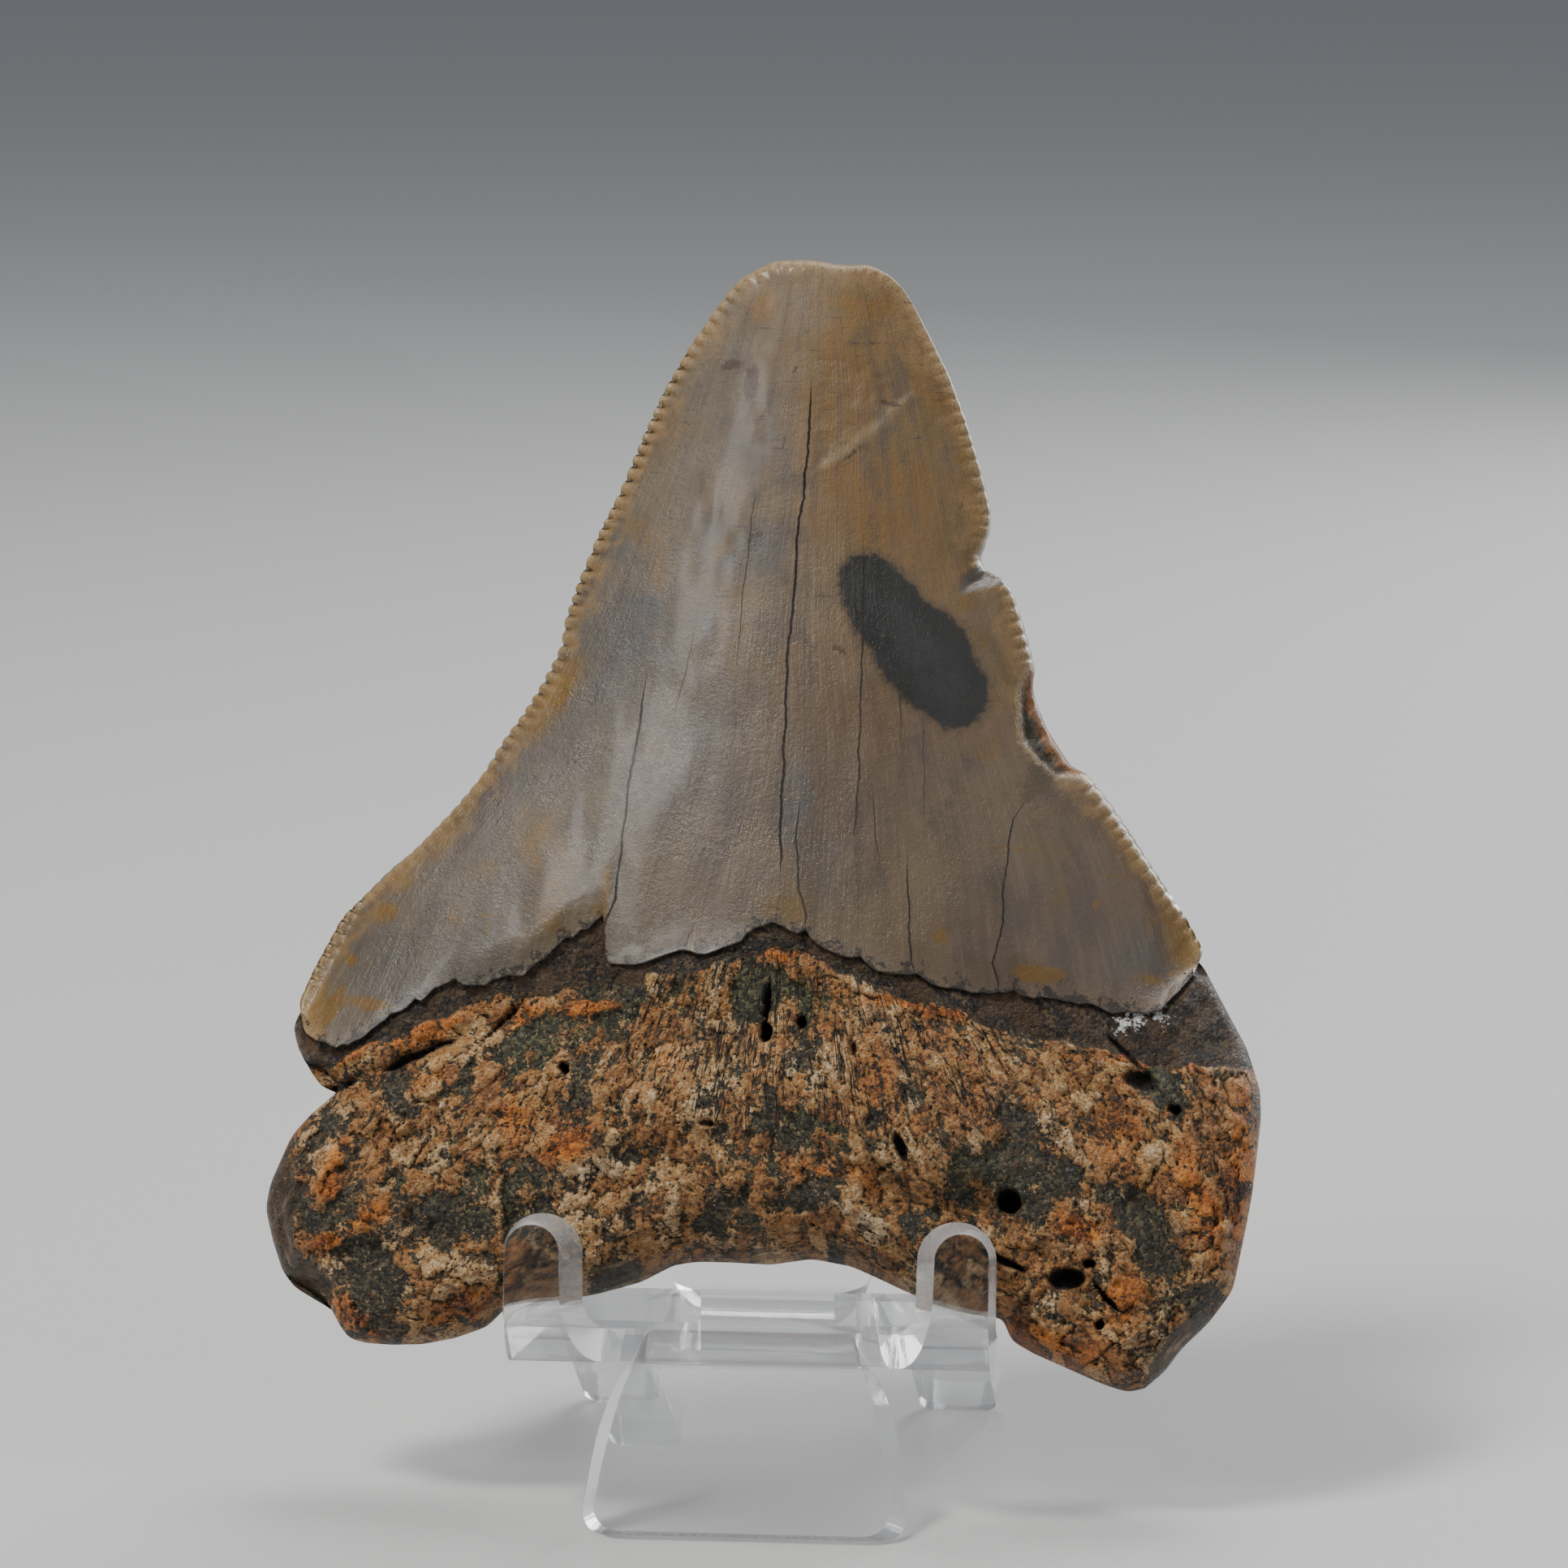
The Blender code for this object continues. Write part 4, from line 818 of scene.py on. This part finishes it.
def pebbles(a, b, size, seed):
    """How far each point is from the nearest and the second nearest of the jittered points of a lattice,
    in cell sizes, and a number from 0 to 1 that the nearest one owns."""
    draw = np.random.default_rng(seed)
    shift, own_number = draw.uniform(0.0, 1.0, (256, 256, 2)), draw.uniform(0.0, 1.0, (256, 256))
    a, b = a / size, b / size
    column, row = np.floor(a).astype(int), np.floor(b).astype(int)
    nearest, second, owner = np.full(a.shape, 9.0), np.full(a.shape, 9.0), np.zeros(a.shape)
    for i in (-1, 0, 1):
        for j in (-1, 0, 1):
            cell = (column + i) % 256, (row + j) % 256
            away = np.hypot(column + i + shift[cell][..., 0] - a, row + j + shift[cell][..., 1] - b)
            second = np.minimum(second, np.maximum(nearest, away))
            owner = np.where(away < nearest, own_number[cell], owner)
            nearest = np.minimum(nearest, away)
    return nearest, second, owner


def root_part(base, columns, soft, facing):
    """The points and shading fields of the root's front (facing 1) or of its flatter back (facing 0)."""
    even = np.linspace(0.0, 1.0, columns)
    u = 0.35 * even + 0.325 * (1 - np.cos(math.pi * even))
    top = [ROOT_LEFT[0]] + [(x, s + 1.2) for x, s in base[2:-1]] + [ROOT_RIGHT[0]]
    foot = along_line(ROOT_FOOT, u, 0.8)
    grid = patch_grid(along_line(top, u, soft), foot, root_left, root_right, u, root_v)
    x, s = grid[..., 0], grid[..., 1]
    edge, along = from_rim(x, s, root_left, ROOT_FOOT, root_right, 3, 150)
    within = smooth_step(edge / 1.5)
    across, down = 36.0 * np.arctan2(x - FAN_X, FAN_S - s), np.hypot(x - FAN_X, FAN_S - s)
    above = s - np.interp(x, *zip(*base))
    band_foot = np.interp(x, *zip(*BAND_FOOT)) + 0.45 * ragged(x, s, 1.6, 41, 3)
    band = smooth_step((s - band_foot) / 0.5) if facing else smooth_step((above + 2.2) / 1.0)
    # Clumps of crust a little over a millimetre wide, drawn out along the fibres, with crevices between
    bend_a, bend_d = ragged(x, s, 2.4, 50, 4, 0.6), ragged(x, s, 2.4, 60, 4, 0.6)
    nearest, second, tone = pebbles(across + 0.6 * bend_a, 0.55 * down + 0.6 * bend_d, 1.25, 53)
    clump = smooth_step((second - nearest) / 0.36)
    _, _, grain_tone = pebbles(x + 0.2 * bend_d, s + 0.2 * bend_a, 0.62, 54)
    weave = ragged(across, 0.6 * down, 2.9, 55, 5, 0.62)
    if facing:
        bright = patches(x + 0.5 * bend_d, s + 0.5 * bend_a, BRIGHT)
        bare = patches(x + 1.3 * bend_a, s + 1.3 * bend_d, BARE)
    else:
        bright, bare = 0.4 * (1 + lumps(x, s, 6.0, 57)), 0.2
    bare = bare + 0.55 * weave + 0.5 * (tone - 0.5) - 0.9 * bright
    worn = patches(x, s, WORN) + 0.2 * weave
    crust = (1 - smooth_step((bare - CRUSTLESS + 0.30) / 0.60)) * (1 - band)
    crust *= 1 - smooth_step((worn - 0.35) / 0.4)
    # Each vessel hole's darkness, stronger the deeper the hole: partly dark matrix, partly painted shade
    hole_matrix_and_shade, pit = np.zeros(x.shape), np.zeros(x.shape)
    for x_mid, s_mid, long, wide, turn, depth in HOLES if facing else []:
        a, b = turned(x + 0.12 * bend_a, s + 0.12 * bend_d, x_mid, s_mid, turn)
        away = np.hypot(a / long, b / wide)
        pit += depth * smooth_step((1.2 - away) / 0.65)
        hole_matrix_and_shade = np.maximum(hole_matrix_and_shade, smooth_step((1.2 - away) / 0.4) * min(1.0, depth / 1.2))
    arch = np.exp(-((edge / 4.0) ** 2)) * (s < 9)
    fibrous = np.exp(-(((x - 4.5) / 15.0) ** 4)) * smooth_step((s - 9.0) / 7.0)
    relief = (
        0.42 * lumps(x, s, 5.2, 3) + 0.30 * lumps(x, s, 2.6, 4)
        + crust * (0.28 + 0.28 * clump + 0.28 * (tone - 0.5))
        + 0.20 * (grain_tone - 0.5) * (0.4 + crust) + 0.14 * ragged(x, s, 0.8, 71, 2)
        + 0.30 * ragged(0.22 * along, edge, 0.9, 62, 3) * arch
        + 0.10 * lumps(across, 0.14 * down, 0.7, 63, 512) * fibrous
    )
    if facing:
        for line, half, depth in VALLEYS:
            relief -= depth * np.exp(-((near_line(x, s, np.array(line))[0] / half) ** 2))
        relief = relief * (1 - 0.3 * band) - (0.30 - 0.22 * ragged(x, s, 1.3, 73, 4)) * band
        under = smooth_step((above + 0.9) / 0.8)
        height = root_form(x, s, edge, above) + within * relief - pit * smooth_step(edge)
        shell = enamel_height(x, s, edge, np.maximum(above, 0.0)) - 0.42 + 0.14 * ragged(x, s, 1.1, 72, 3)
        height = height * (1 - under) + shell * under * smooth_step(edge)
        d = rim_depth(s) + np.maximum(height, 0.0)
    else:
        plain = (rim_depth(s) - 0.5) * rounded(edge, 4.5) - within * (0.3 - 0.5 * relief)
        thick = np.minimum(2.3 * lens(x, s)[0] ** 0.8, 1.4 * np.sqrt(edge)) - 0.4 * smooth_step(edge)
        blend = smooth_step((above + 1.0) / 3.0)
        d = rim_depth(s) - np.maximum(plain * (1 - blend) + thick * blend, 0.0)
    fields = {
        "fibre": np.stack([across, down, fibrous], -1),
        "seam": np.stack([along, edge, arch], -1),
        "dust": np.stack([patches(x, s, CHALK) * facing] * 3, -1),
        "zone": np.stack([crust, tone, hole_matrix_and_shade], -1),
        "layer": np.stack([clump, band, bright], -1),
        "hue": np.stack([patches(x, s, PALE), patches(x, s, GREEN), worn], -1),
    }
    return x, s, d, fields


root = closed_shell(
    "tooth_root",
    root_part(CROWN_BASE, 2 * ROOT_COLUMNS + 1, 0.25, 1),
    root_part(REAR_BASE, ROOT_COLUMNS + 1, 2.0, 0),
)

look = Shader("root_bone")
crust, tone, hole_matrix_and_shade = look.split(look.field("zone"))
clump, band, bright = look.split(look.field("layer"))
_, _, fibrous = look.split(look.field("fibre"))
_, _, seamed = look.split(look.field("seam"))
pale, green, worn = look.split(look.field("hue"))
broad = look.noise(0.28, 4, 0.6, twist=0.5)
middling = look.noise(1.0, 6, 0.7, look.stretch(look.field("fibre"), (1.2, 0.55, 0.0)), twist=0.4)
crumb = look.noise(3.2, 5, 0.7)
dust = look.noise(8.0, 3, 0.6)
grit, speckle = look.cells(3.6), look.cells(6.5)
grit_tone, grit_more, _ = look.split(grit.outputs["Color"])
_, spark, _ = look.split(speckle.outputs["Color"])
# Crust: red-brown in its low places, orange where it is thick, and tan to cream where it is dry
shade = look.plus(
    (tone, 0.36), (middling, 0.85), (look.maths("SUBTRACT", grit_tone, 0.5), 0.28), (pale, 0.22),
    (bright, -0.10),
)
stony = look.ramp(
    shade, (0.30, (58, 38, 22)), (0.41, (118, 76, 36)), (0.52, (162, 106, 52)), (0.65, (162, 122, 72)),
    (0.80, (192, 156, 108)), (0.93, (214, 186, 146)),
)
rusty = look.ramp(shade, (0.25, (100, 50, 12)), (0.5, (176, 96, 24)), (0.8, (208, 134, 54)))
stony = look.paint(
    stony,
    (look.times(bright, look.between(broad, 0.3, 0.55, 0.9, 1.6), clamp=True), rusty),
    (look.between(crumb, 0.55, 0.67, 0.0, 0.5), (190, 154, 110)),
    (look.between(crumb, 0.45, 0.36, 0.0, 0.75), (54, 34, 20)),
    (look.between(look.noise(0.5, 5, 0.7), 0.52, 0.66, 0.0, 0.6), (78, 46, 26)),
)
# Matrix: green-black sand with lighter grains
sandy = look.ramp(grit_more, (0.0, (15, 14, 10)), (0.6, (45, 42, 30)), (1.0, (98, 88, 62)))
leafy = look.ramp(grit_more, (0.0, (18, 20, 12)), (0.6, (54, 57, 34)), (1.0, (108, 108, 70)))
sandy = look.paint(
    sandy,
    (look.times(green, 0.9, clamp=True), leafy),
    (look.between(dust, 0.56, 0.7, 0.0, 0.5), (112, 98, 70)),
    (look.between(look.noise(0.7, 5, 0.7), 0.56, 0.7, 0.0, 0.6), (94, 62, 34)),
)
cover = look.between(look.frayed(look.frayed(crust, crumb, 0.46), middling, 0.42), 0.36, 0.62)
cover = look.times(cover, look.between(look.frayed(clump, crumb, 0.35), 0.02, 0.28))
# The band under the enamel: charcoal, with pale specks painted in as glints (painted highlights)
coal_and_glints = look.paint(
    look.ramp(grit_tone, (0.0, (13, 10, 8)), (0.6, (38, 29, 20)), (1.0, (92, 72, 46))),
    (look.between(look.noise(0.45, 5, 0.7), 0.46, 0.62, 0.0, 0.8), (74, 54, 32)),
    (look.between(crumb, 0.60, 0.70, 0.0, 0.7), (120, 104, 80)),
)
band_share = look.between(look.frayed(band, crumb, 0.4), 0.35, 0.65)
rim_colour = look.mix(look.between(middling, 0.4, 0.6), srgb(52, 40, 28), srgb(98, 76, 54))
# Fine black lines along the fibres and along the laminations of the arch, round pores, and mineral dust. The
# black of the fibre lines, pores and vessel holes is partly dark matrix, partly painted shade in these
# hollows
thread = look.noise(1.0, 3, 0.6, look.stretch(look.field("fibre"), (1.25, 0.13, 0.0)))
thread = look.between(look.maths("ABSOLUTE", look.maths("SUBTRACT", thread, 0.5)), 0.008, 0.026, 1.0, 0.0)
thread = look.times(thread, look.between(fibrous, 0.15, 0.6))
thread = look.times(thread, look.between(look.noise(0.45, 3), 0.42, 0.52))
layers = look.noise(1.0, 5, 0.68, look.stretch(look.field("seam"), (0.2, 1.5, 0.0)))
pores = [
    look.times(look.between(look.cells(size).outputs["Distance"], near, far, 1.0, 0.0),
               look.between(look.noise(spread, 2), low, high))
    for size, near, far, spread, low, high in (
        (1.25, 0.11, 0.2, 0.3, 0.44, 0.56), (2.6, 0.14, 0.24, 0.6, 0.5, 0.6),
    )
]
# Near-black in the fibre lines, pores and holes: partly dark matrix, partly painted shade
dark_pits_and_shade = look.times(look.most(thread, *pores), look.maths("SUBTRACT", 1.0, band_share))
dark_pits_and_shade = look.most(hole_matrix_and_shade, look.times(dark_pits_and_shade, 0.9))
chalk = look.plus(
    look.split(look.field("dust"))[0], look.between(look.noise(2.2, 5, 0.75), 0.34, 0.66, -0.7, 0.7)
)
colour = look.paint(
    look.mix(cover, sandy, stony),
    (band_share, coal_and_glints),
    (look.between(look.frayed(worn, middling, 0.3), 0.5, 0.75, 0.0, 0.85), rim_colour),
    (look.times(look.times(look.between(layers, 0.44, 0.34), seamed), 0.6), (176, 142, 106)),
    (look.times(look.times(look.between(layers, 0.53, 0.62), seamed), 0.7), (46, 36, 26)),
    (look.between(dark_pits_and_shade, 0.2, 0.8, 0.0, 0.95), (14, 11, 9)),
    (look.between(chalk, 0.66, 0.8), (214, 214, 212)),
)
WORN_GLOSS = (0.3, 0.3, 0.3, 1.0)
gloss = look.between(spark, 0.80, 0.95, 0.62, 0.24)
gloss = look.mix(look.between(worn, 0.4, 0.8, 0.0, 0.8), gloss, WORN_GLOSS)
surface = look.plus(
    (look.noise(1.6, 8, 0.72), 1.1), (grit.outputs["Distance"], -0.4), (speckle.outputs["Distance"], -0.25),
    (cover, 0.55), (dark_pits_and_shade, -1.0),
)
look.finish(Base_Color=colour, Roughness=gloss, IOR=1.5, Normal=look.bump(surface, 1.0, 0.5))
root.data.materials.append(look.material)
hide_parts("megalodon_tooth")
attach(root, "root")


# The easel. One piece of clear acrylic sheet, slotted and bent warm over a wire: a shelf with two prongs
# turned up in front, a wide foot turned down between them, a backrest and two rear legs.

SHEET = 2.5
SHELF_TOP = 13.8
SHELF_MIDDLE = -6.6
FRONT_FOLD = 5.8
REAR_FOLD = 6.4
EASEL_WIDTH = 36.4
REAR_WIDTH = 33.0
# Rows of points over the arc of a fold, the straight run after it and the rounded end of a limb
FOLD_ROWS = 15
STRAIGHT_ROWS = 18
CORNER_ROWS = 10


def bent(distance, offset, fold, side, turn, radius):
    """Side view (y, z) of a sheet point past a fold: an arc, then straight. A negative turn goes down."""
    angle = np.clip(distance / radius, 0.0, abs(turn))
    straight = np.maximum(distance - radius * abs(turn), 0.0)
    up = math.copysign(1.0, turn)
    arm = radius - up * offset
    run = arm * np.sin(angle) + straight * np.cos(angle)
    rise = up * (radius - arm * np.cos(angle) + straight * np.sin(angle))
    return SHELF_MIDDLE + side * (fold + run), SHELF_TOP - SHEET / 2 + rise


def limb_sheet(spec, offset):
    """Rows of points over one face of a limb: its edges follow their own lines and draw in round its end."""
    arc = spec["radius"] * abs(spec["turn"])
    corner = spec["corner"]
    end = spec["length"] - corner
    turn = np.linspace(0.0, math.pi / 2, CORNER_ROWS + 1)[1:]
    straight = np.linspace(arc, end, STRAIGHT_ROWS + 1)[1:]
    distance = np.concatenate([np.linspace(0.0, arc, FOLD_ROWS), straight, end + corner * np.sin(turn)])
    inset = np.concatenate([np.zeros(FOLD_ROWS + STRAIGHT_ROWS), corner * (1 - np.cos(turn))])
    inner = smooth_table(spec["inner"], distance, 0.5) + inset
    outer = smooth_table(spec["outer"], distance, 0.5) - inset
    y, z = bent(distance, offset, spec["fold"], spec["side"], spec["turn"], spec["radius"])
    share = np.linspace(0.0, 1.0, spec["columns"] + 1)
    x = inner[:, None] + (outer - inner)[:, None] * share
    return np.dstack([x, np.repeat(y[:, None], len(share), 1), np.repeat(z[:, None], len(share), 1)])


def reach(turn, radius):
    """The length of a limb that bends down from the shelf and ends a little under the table's level."""
    drop = SHELF_TOP - SHEET / 2 + 0.4 - radius * (1 - math.cos(turn)) - SHEET / 2 * math.cos(turn)
    return radius * turn + drop / math.sin(turn)


def both_ways(edge):
    """The edges of a limb in the easel's middle, from the line of its right edge."""
    return dict(inner=[(distance, -x) for distance, x in edge], outer=edge)


def straight_out(x):
    return [(0, x), (20, x)]


# The limbs, and the lines of their edges as the distance past the fold and x. Each has a spec for the upper
# face of the sheet and one for the lower face, which differ where the cut edge slants
foot_turn = math.radians(64)
foot = dict(fold=FRONT_FOLD, side=-1, turn=-foot_turn, radius=2.0, columns=16, corner=2.2)
foot["length"] = reach(foot_turn, 2.0)
foot_over = [(0, 7.4), (1.2, 8.0), (2.5, 8.5), (4.5, 9.2), (6.9, 9.8), (9.4, 10.3), (14.3, 11.1)]
foot_under = [(0, 7.7), (1.2, 8.6), (2.5, 9.5), (4.5, 10.4), (6.9, 11.1), (9.4, 11.5), (14.3, 12.1)]
prong_turn = math.radians(99)
prong = dict(fold=FRONT_FOLD, side=-1, turn=prong_turn, radius=3.2, columns=10)
prong_rise = 9.0 + SHEET / 2 - 3.2 * (1 - math.cos(prong_turn))
prong_length = 3.2 * prong_turn + prong_rise / math.sin(prong_turn)
prong_over = [(0, 9.2), (1, 10.2), (2, 11.0), (3.5, 11.8), (5.5, 12.3), (12, 12.4)]
prong_under = [(0, 9.6), (1, 10.9), (2, 11.9), (3.5, 12.9), (5.5, 13.7), (12, 13.9)]
back_turn = math.radians(80)
back = dict(fold=REAR_FOLD, side=1, turn=back_turn, radius=2.0, columns=14, corner=3.0)
back["length"] = 2.0 * back_turn + 30.0
back_edge = [(0, 4.9), (1, 6.1), (2.5, 7.4), (5, 8.3), (20, 9.3), (30, 9.6)]
leg_turn = math.radians(31)
leg = dict(fold=REAR_FOLD, side=1, turn=-leg_turn, radius=2.0, columns=8, corner=2.6)
leg["length"] = reach(leg_turn, 2.0)
leg_edge = [(0, 6.5), (1, 7.8), (2.5, 9.2), (5, 10.0), (18, 10.2)]
SLANT = 0.4
prong_out, leg_out = EASEL_WIDTH / 2, REAR_WIDTH / 2
limbs = {
    "foot": [foot | both_ways(foot_over), foot | both_ways(foot_under)],
    "prong": [
        prong | dict(length=prong_length, corner=2.85, inner=prong_over, outer=straight_out(prong_out)),
        prong | dict(
            length=prong_length - 0.7, corner=1.9, inner=prong_under,
            outer=straight_out(prong_out - SLANT),
        ),
    ],
    "back": [back | both_ways(back_edge)] * 2,
    "leg": [
        leg | dict(inner=leg_edge, outer=straight_out(leg_out)),
        leg | dict(inner=leg_edge, outer=straight_out(leg_out - SLANT)),
    ],
}

sheets = []
shelf_rows = {}
for name, (over, under) in limbs.items():
    faces = [limb_sheet(over, SHEET / 2), limb_sheet(under, -SHEET / 2)]
    for side_name, pair in (("right", faces), ("left", [face[:, ::-1] * (-1, 1, 1) for face in faces])):
        if side_name == "left" and name in ("foot", "back"):
            continue
        sheets += [*pair, np.stack([face[:, 0] for face in pair]), np.stack([face[:, -1] for face in pair])]
        sheets.append(np.stack([face[-1] for face in pair]))
        shelf_rows[side_name, name] = [face[0] for face in pair]

# The shelf: an upper and a lower plate between the folds, its two ends, and the inner ends of four slots
folds, slots = [], []
for outer, middle in (("prong", "foot"), ("leg", "back")):
    parts = [shelf_rows["left", outer], shelf_rows["right", middle], shelf_rows["right", outer]]
    over, under = [np.vstack(rows) for rows in zip(*parts)]
    folds.append((over, under))
    for column in np.cumsum([len(part[0]) for part in parts[:2]]):
        slots.append(np.array([over[column - 1], over[column], under[column], under[column - 1]]))
(front_over, front_under), (rear_over, rear_under) = folds
plates = [np.vstack([front_over, rear_over[::-1]]), np.vstack([front_under, rear_under[::-1]])]
for end in (0, -1):
    plates.append(np.array([front_over[end], rear_over[end], rear_under[end], front_under[end]]))
plates += slots

# The material slots of the faces: 0 for the clear faces of the sheet and 1 for its polished edges, whose
# white share is a painted highlight
patchwork = []
for sheet in sheets:
    numbers = np.arange(sheet[..., 0].size).reshape(sheet.shape[:2])
    patchwork.append((sheet.reshape(-1, 3), quad_corners(numbers), int(len(sheet) == 2)))
patchwork += [(plate, np.arange(len(plate))[None], 0) for plate in plates]
starts = np.cumsum([0] + [len(points) for points, _, _ in patchwork])
corner_lists = [(corners + start).tolist() for start, (_, corners, _) in zip(starts, patchwork)]
mesh = bpy.data.meshes.new("easel")
mesh.from_pydata(np.vstack([points for points, _, _ in patchwork]) * MM, [], sum(corner_lists, []))
slot_numbers = np.repeat([slot for _, _, slot in patchwork], [len(corners) for corners in corner_lists])
mesh.polygons.foreach_set("material_index", slot_numbers)
shell = bmesh.new()
shell.from_mesh(mesh)
bmesh.ops.remove_doubles(shell, verts=shell.verts, dist=1e-6)
bmesh.ops.recalc_face_normals(shell, faces=shell.faces)
cut = bmesh.ops.bisect_plane(
    shell, geom=shell.verts[:] + shell.edges[:] + shell.faces[:], dist=1e-7, plane_co=(0, 0, 0),
    plane_no=(0, 0, -1), clear_outer=True,
)
cut_edges = [item for item in cut["geom_cut"] if isinstance(item, bmesh.types.BMEdge)]
bmesh.ops.edgeloop_fill(shell, edges=cut_edges)
bmesh.ops.recalc_face_normals(shell, faces=shell.faces)
shell.to_mesh(mesh)
shell.free()
mesh.polygons.foreach_set("use_smooth", np.ones(len(mesh.polygons), bool))
easel = placed("easel", mesh)
polish = easel.modifiers.new("polished_edges", "BEVEL")
polish.width = 0.28 * MM
polish.segments = 3
polish.limit_method = "ANGLE"
polish.angle_limit = math.radians(40)
polish.harden_normals = True
polish.material = 1

look = Shader("clear_acrylic")
look.finish(
    Base_Color=(0.965, 0.98, 0.985, 1.0), Transmission_Weight=1.0, IOR=1.49, Alpha=0.6, Roughness=0.0
)
easel.data.materials.append(look.material)
# The polished edges: a fifth of white diffuse colour under the clear plastic, a painted highlight that shows
# them as bright lines
look = Shader("acrylic_edge_painted_highlight")
fans = look.noise(1.0, 3, 0.6, look.stretch(look.place, (2.4, 0.5, 0.5)))
look.finish(
    Base_Color=(0.985, 0.99, 1.0, 1.0), Transmission_Weight=0.80, IOR=1.49,
    Roughness=look.between(fans, 0.35, 0.65, 0.03, 0.16), Normal=look.bump(fans, 0.35, 0.12),
)
easel.data.materials.append(look.material)
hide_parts("acrylic_stand")
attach(easel, "root")


# The studio. A plain pale floor, soft light from large panels, and the camera of the photograph.

floor_mesh = bpy.data.meshes.new("floor")
floor_mesh.from_pydata([(-3, -3, 0), (3, -3, 0), (3, 3, 0), (-3, 3, 0)], [], [(0, 1, 2, 3)])
floor = placed("floor", floor_mesh)
look = Shader("pale_floor")
look.finish(Base_Color=(0.42, 0.42, 0.415, 1.0), Roughness=0.55)
floor.data.materials.append(look.material)

world = bpy.data.worlds.new("studio")
world.use_nodes = True
backdrop = world.node_tree.nodes["Background"]
backdrop.inputs["Color"].default_value = (0.80, 0.86, 0.95, 1.0)
backdrop.inputs["Strength"].default_value = 0.30
bpy.context.scene.world = world


def panel(name, place, size, power, colour):
    """A square light panel that faces the tooth's middle."""
    light = bpy.data.lights.new(name, "AREA")
    light.shape = "SQUARE"
    light.size = size
    light.energy = power
    light.color = colour
    lamp = placed(name, light)
    lamp.location = place
    lamp.rotation_euler = (Vector(place) - Vector((0, 0, 0.05))).to_track_quat("Z", "Y").to_euler()


panel("key", (-0.30, -0.26, 0.66), 0.16, 5.6, (1.0, 0.97, 0.93))
panel("sheen", (-0.40, -0.47, 0.48), 0.16, 1.7, (1.0, 0.98, 0.96))
panel("top", (0.10, 0.30, 0.70), 0.40, 4.0, (1.0, 1.0, 1.0))
panel("back", (0.30, 0.55, 0.22), 0.30, 2.4, (1.0, 1.0, 1.0))
panel("fill", (0.55, -0.40, 0.35), 0.45, 1.2, (0.95, 0.97, 1.0))

CAMERA_TURN = math.radians(5.5)
CAMERA_RISE = math.radians(9.9)
CAMERA_AIM = Vector((1.1, 1.4, 52.4)) * MM
CAMERA_AWAY = 560.0
PIXELS_PER_MM = 16.5
IMAGE = 1932
level = math.cos(CAMERA_RISE)
towards = Vector((math.sin(CAMERA_TURN) * level, -math.cos(CAMERA_TURN) * level, math.sin(CAMERA_RISE)))
camera_data = bpy.data.cameras.new("camera")
camera_data.sensor_width = 36.0
camera_data.lens = camera_data.sensor_width * CAMERA_AWAY / (IMAGE / PIXELS_PER_MM)
camera_data.clip_start = 0.01
camera = placed("camera", camera_data)
camera.location = CAMERA_AIM + towards * CAMERA_AWAY * MM
camera.rotation_euler = towards.to_track_quat("Z", "Y").to_euler()
bpy.context.scene.camera = camera
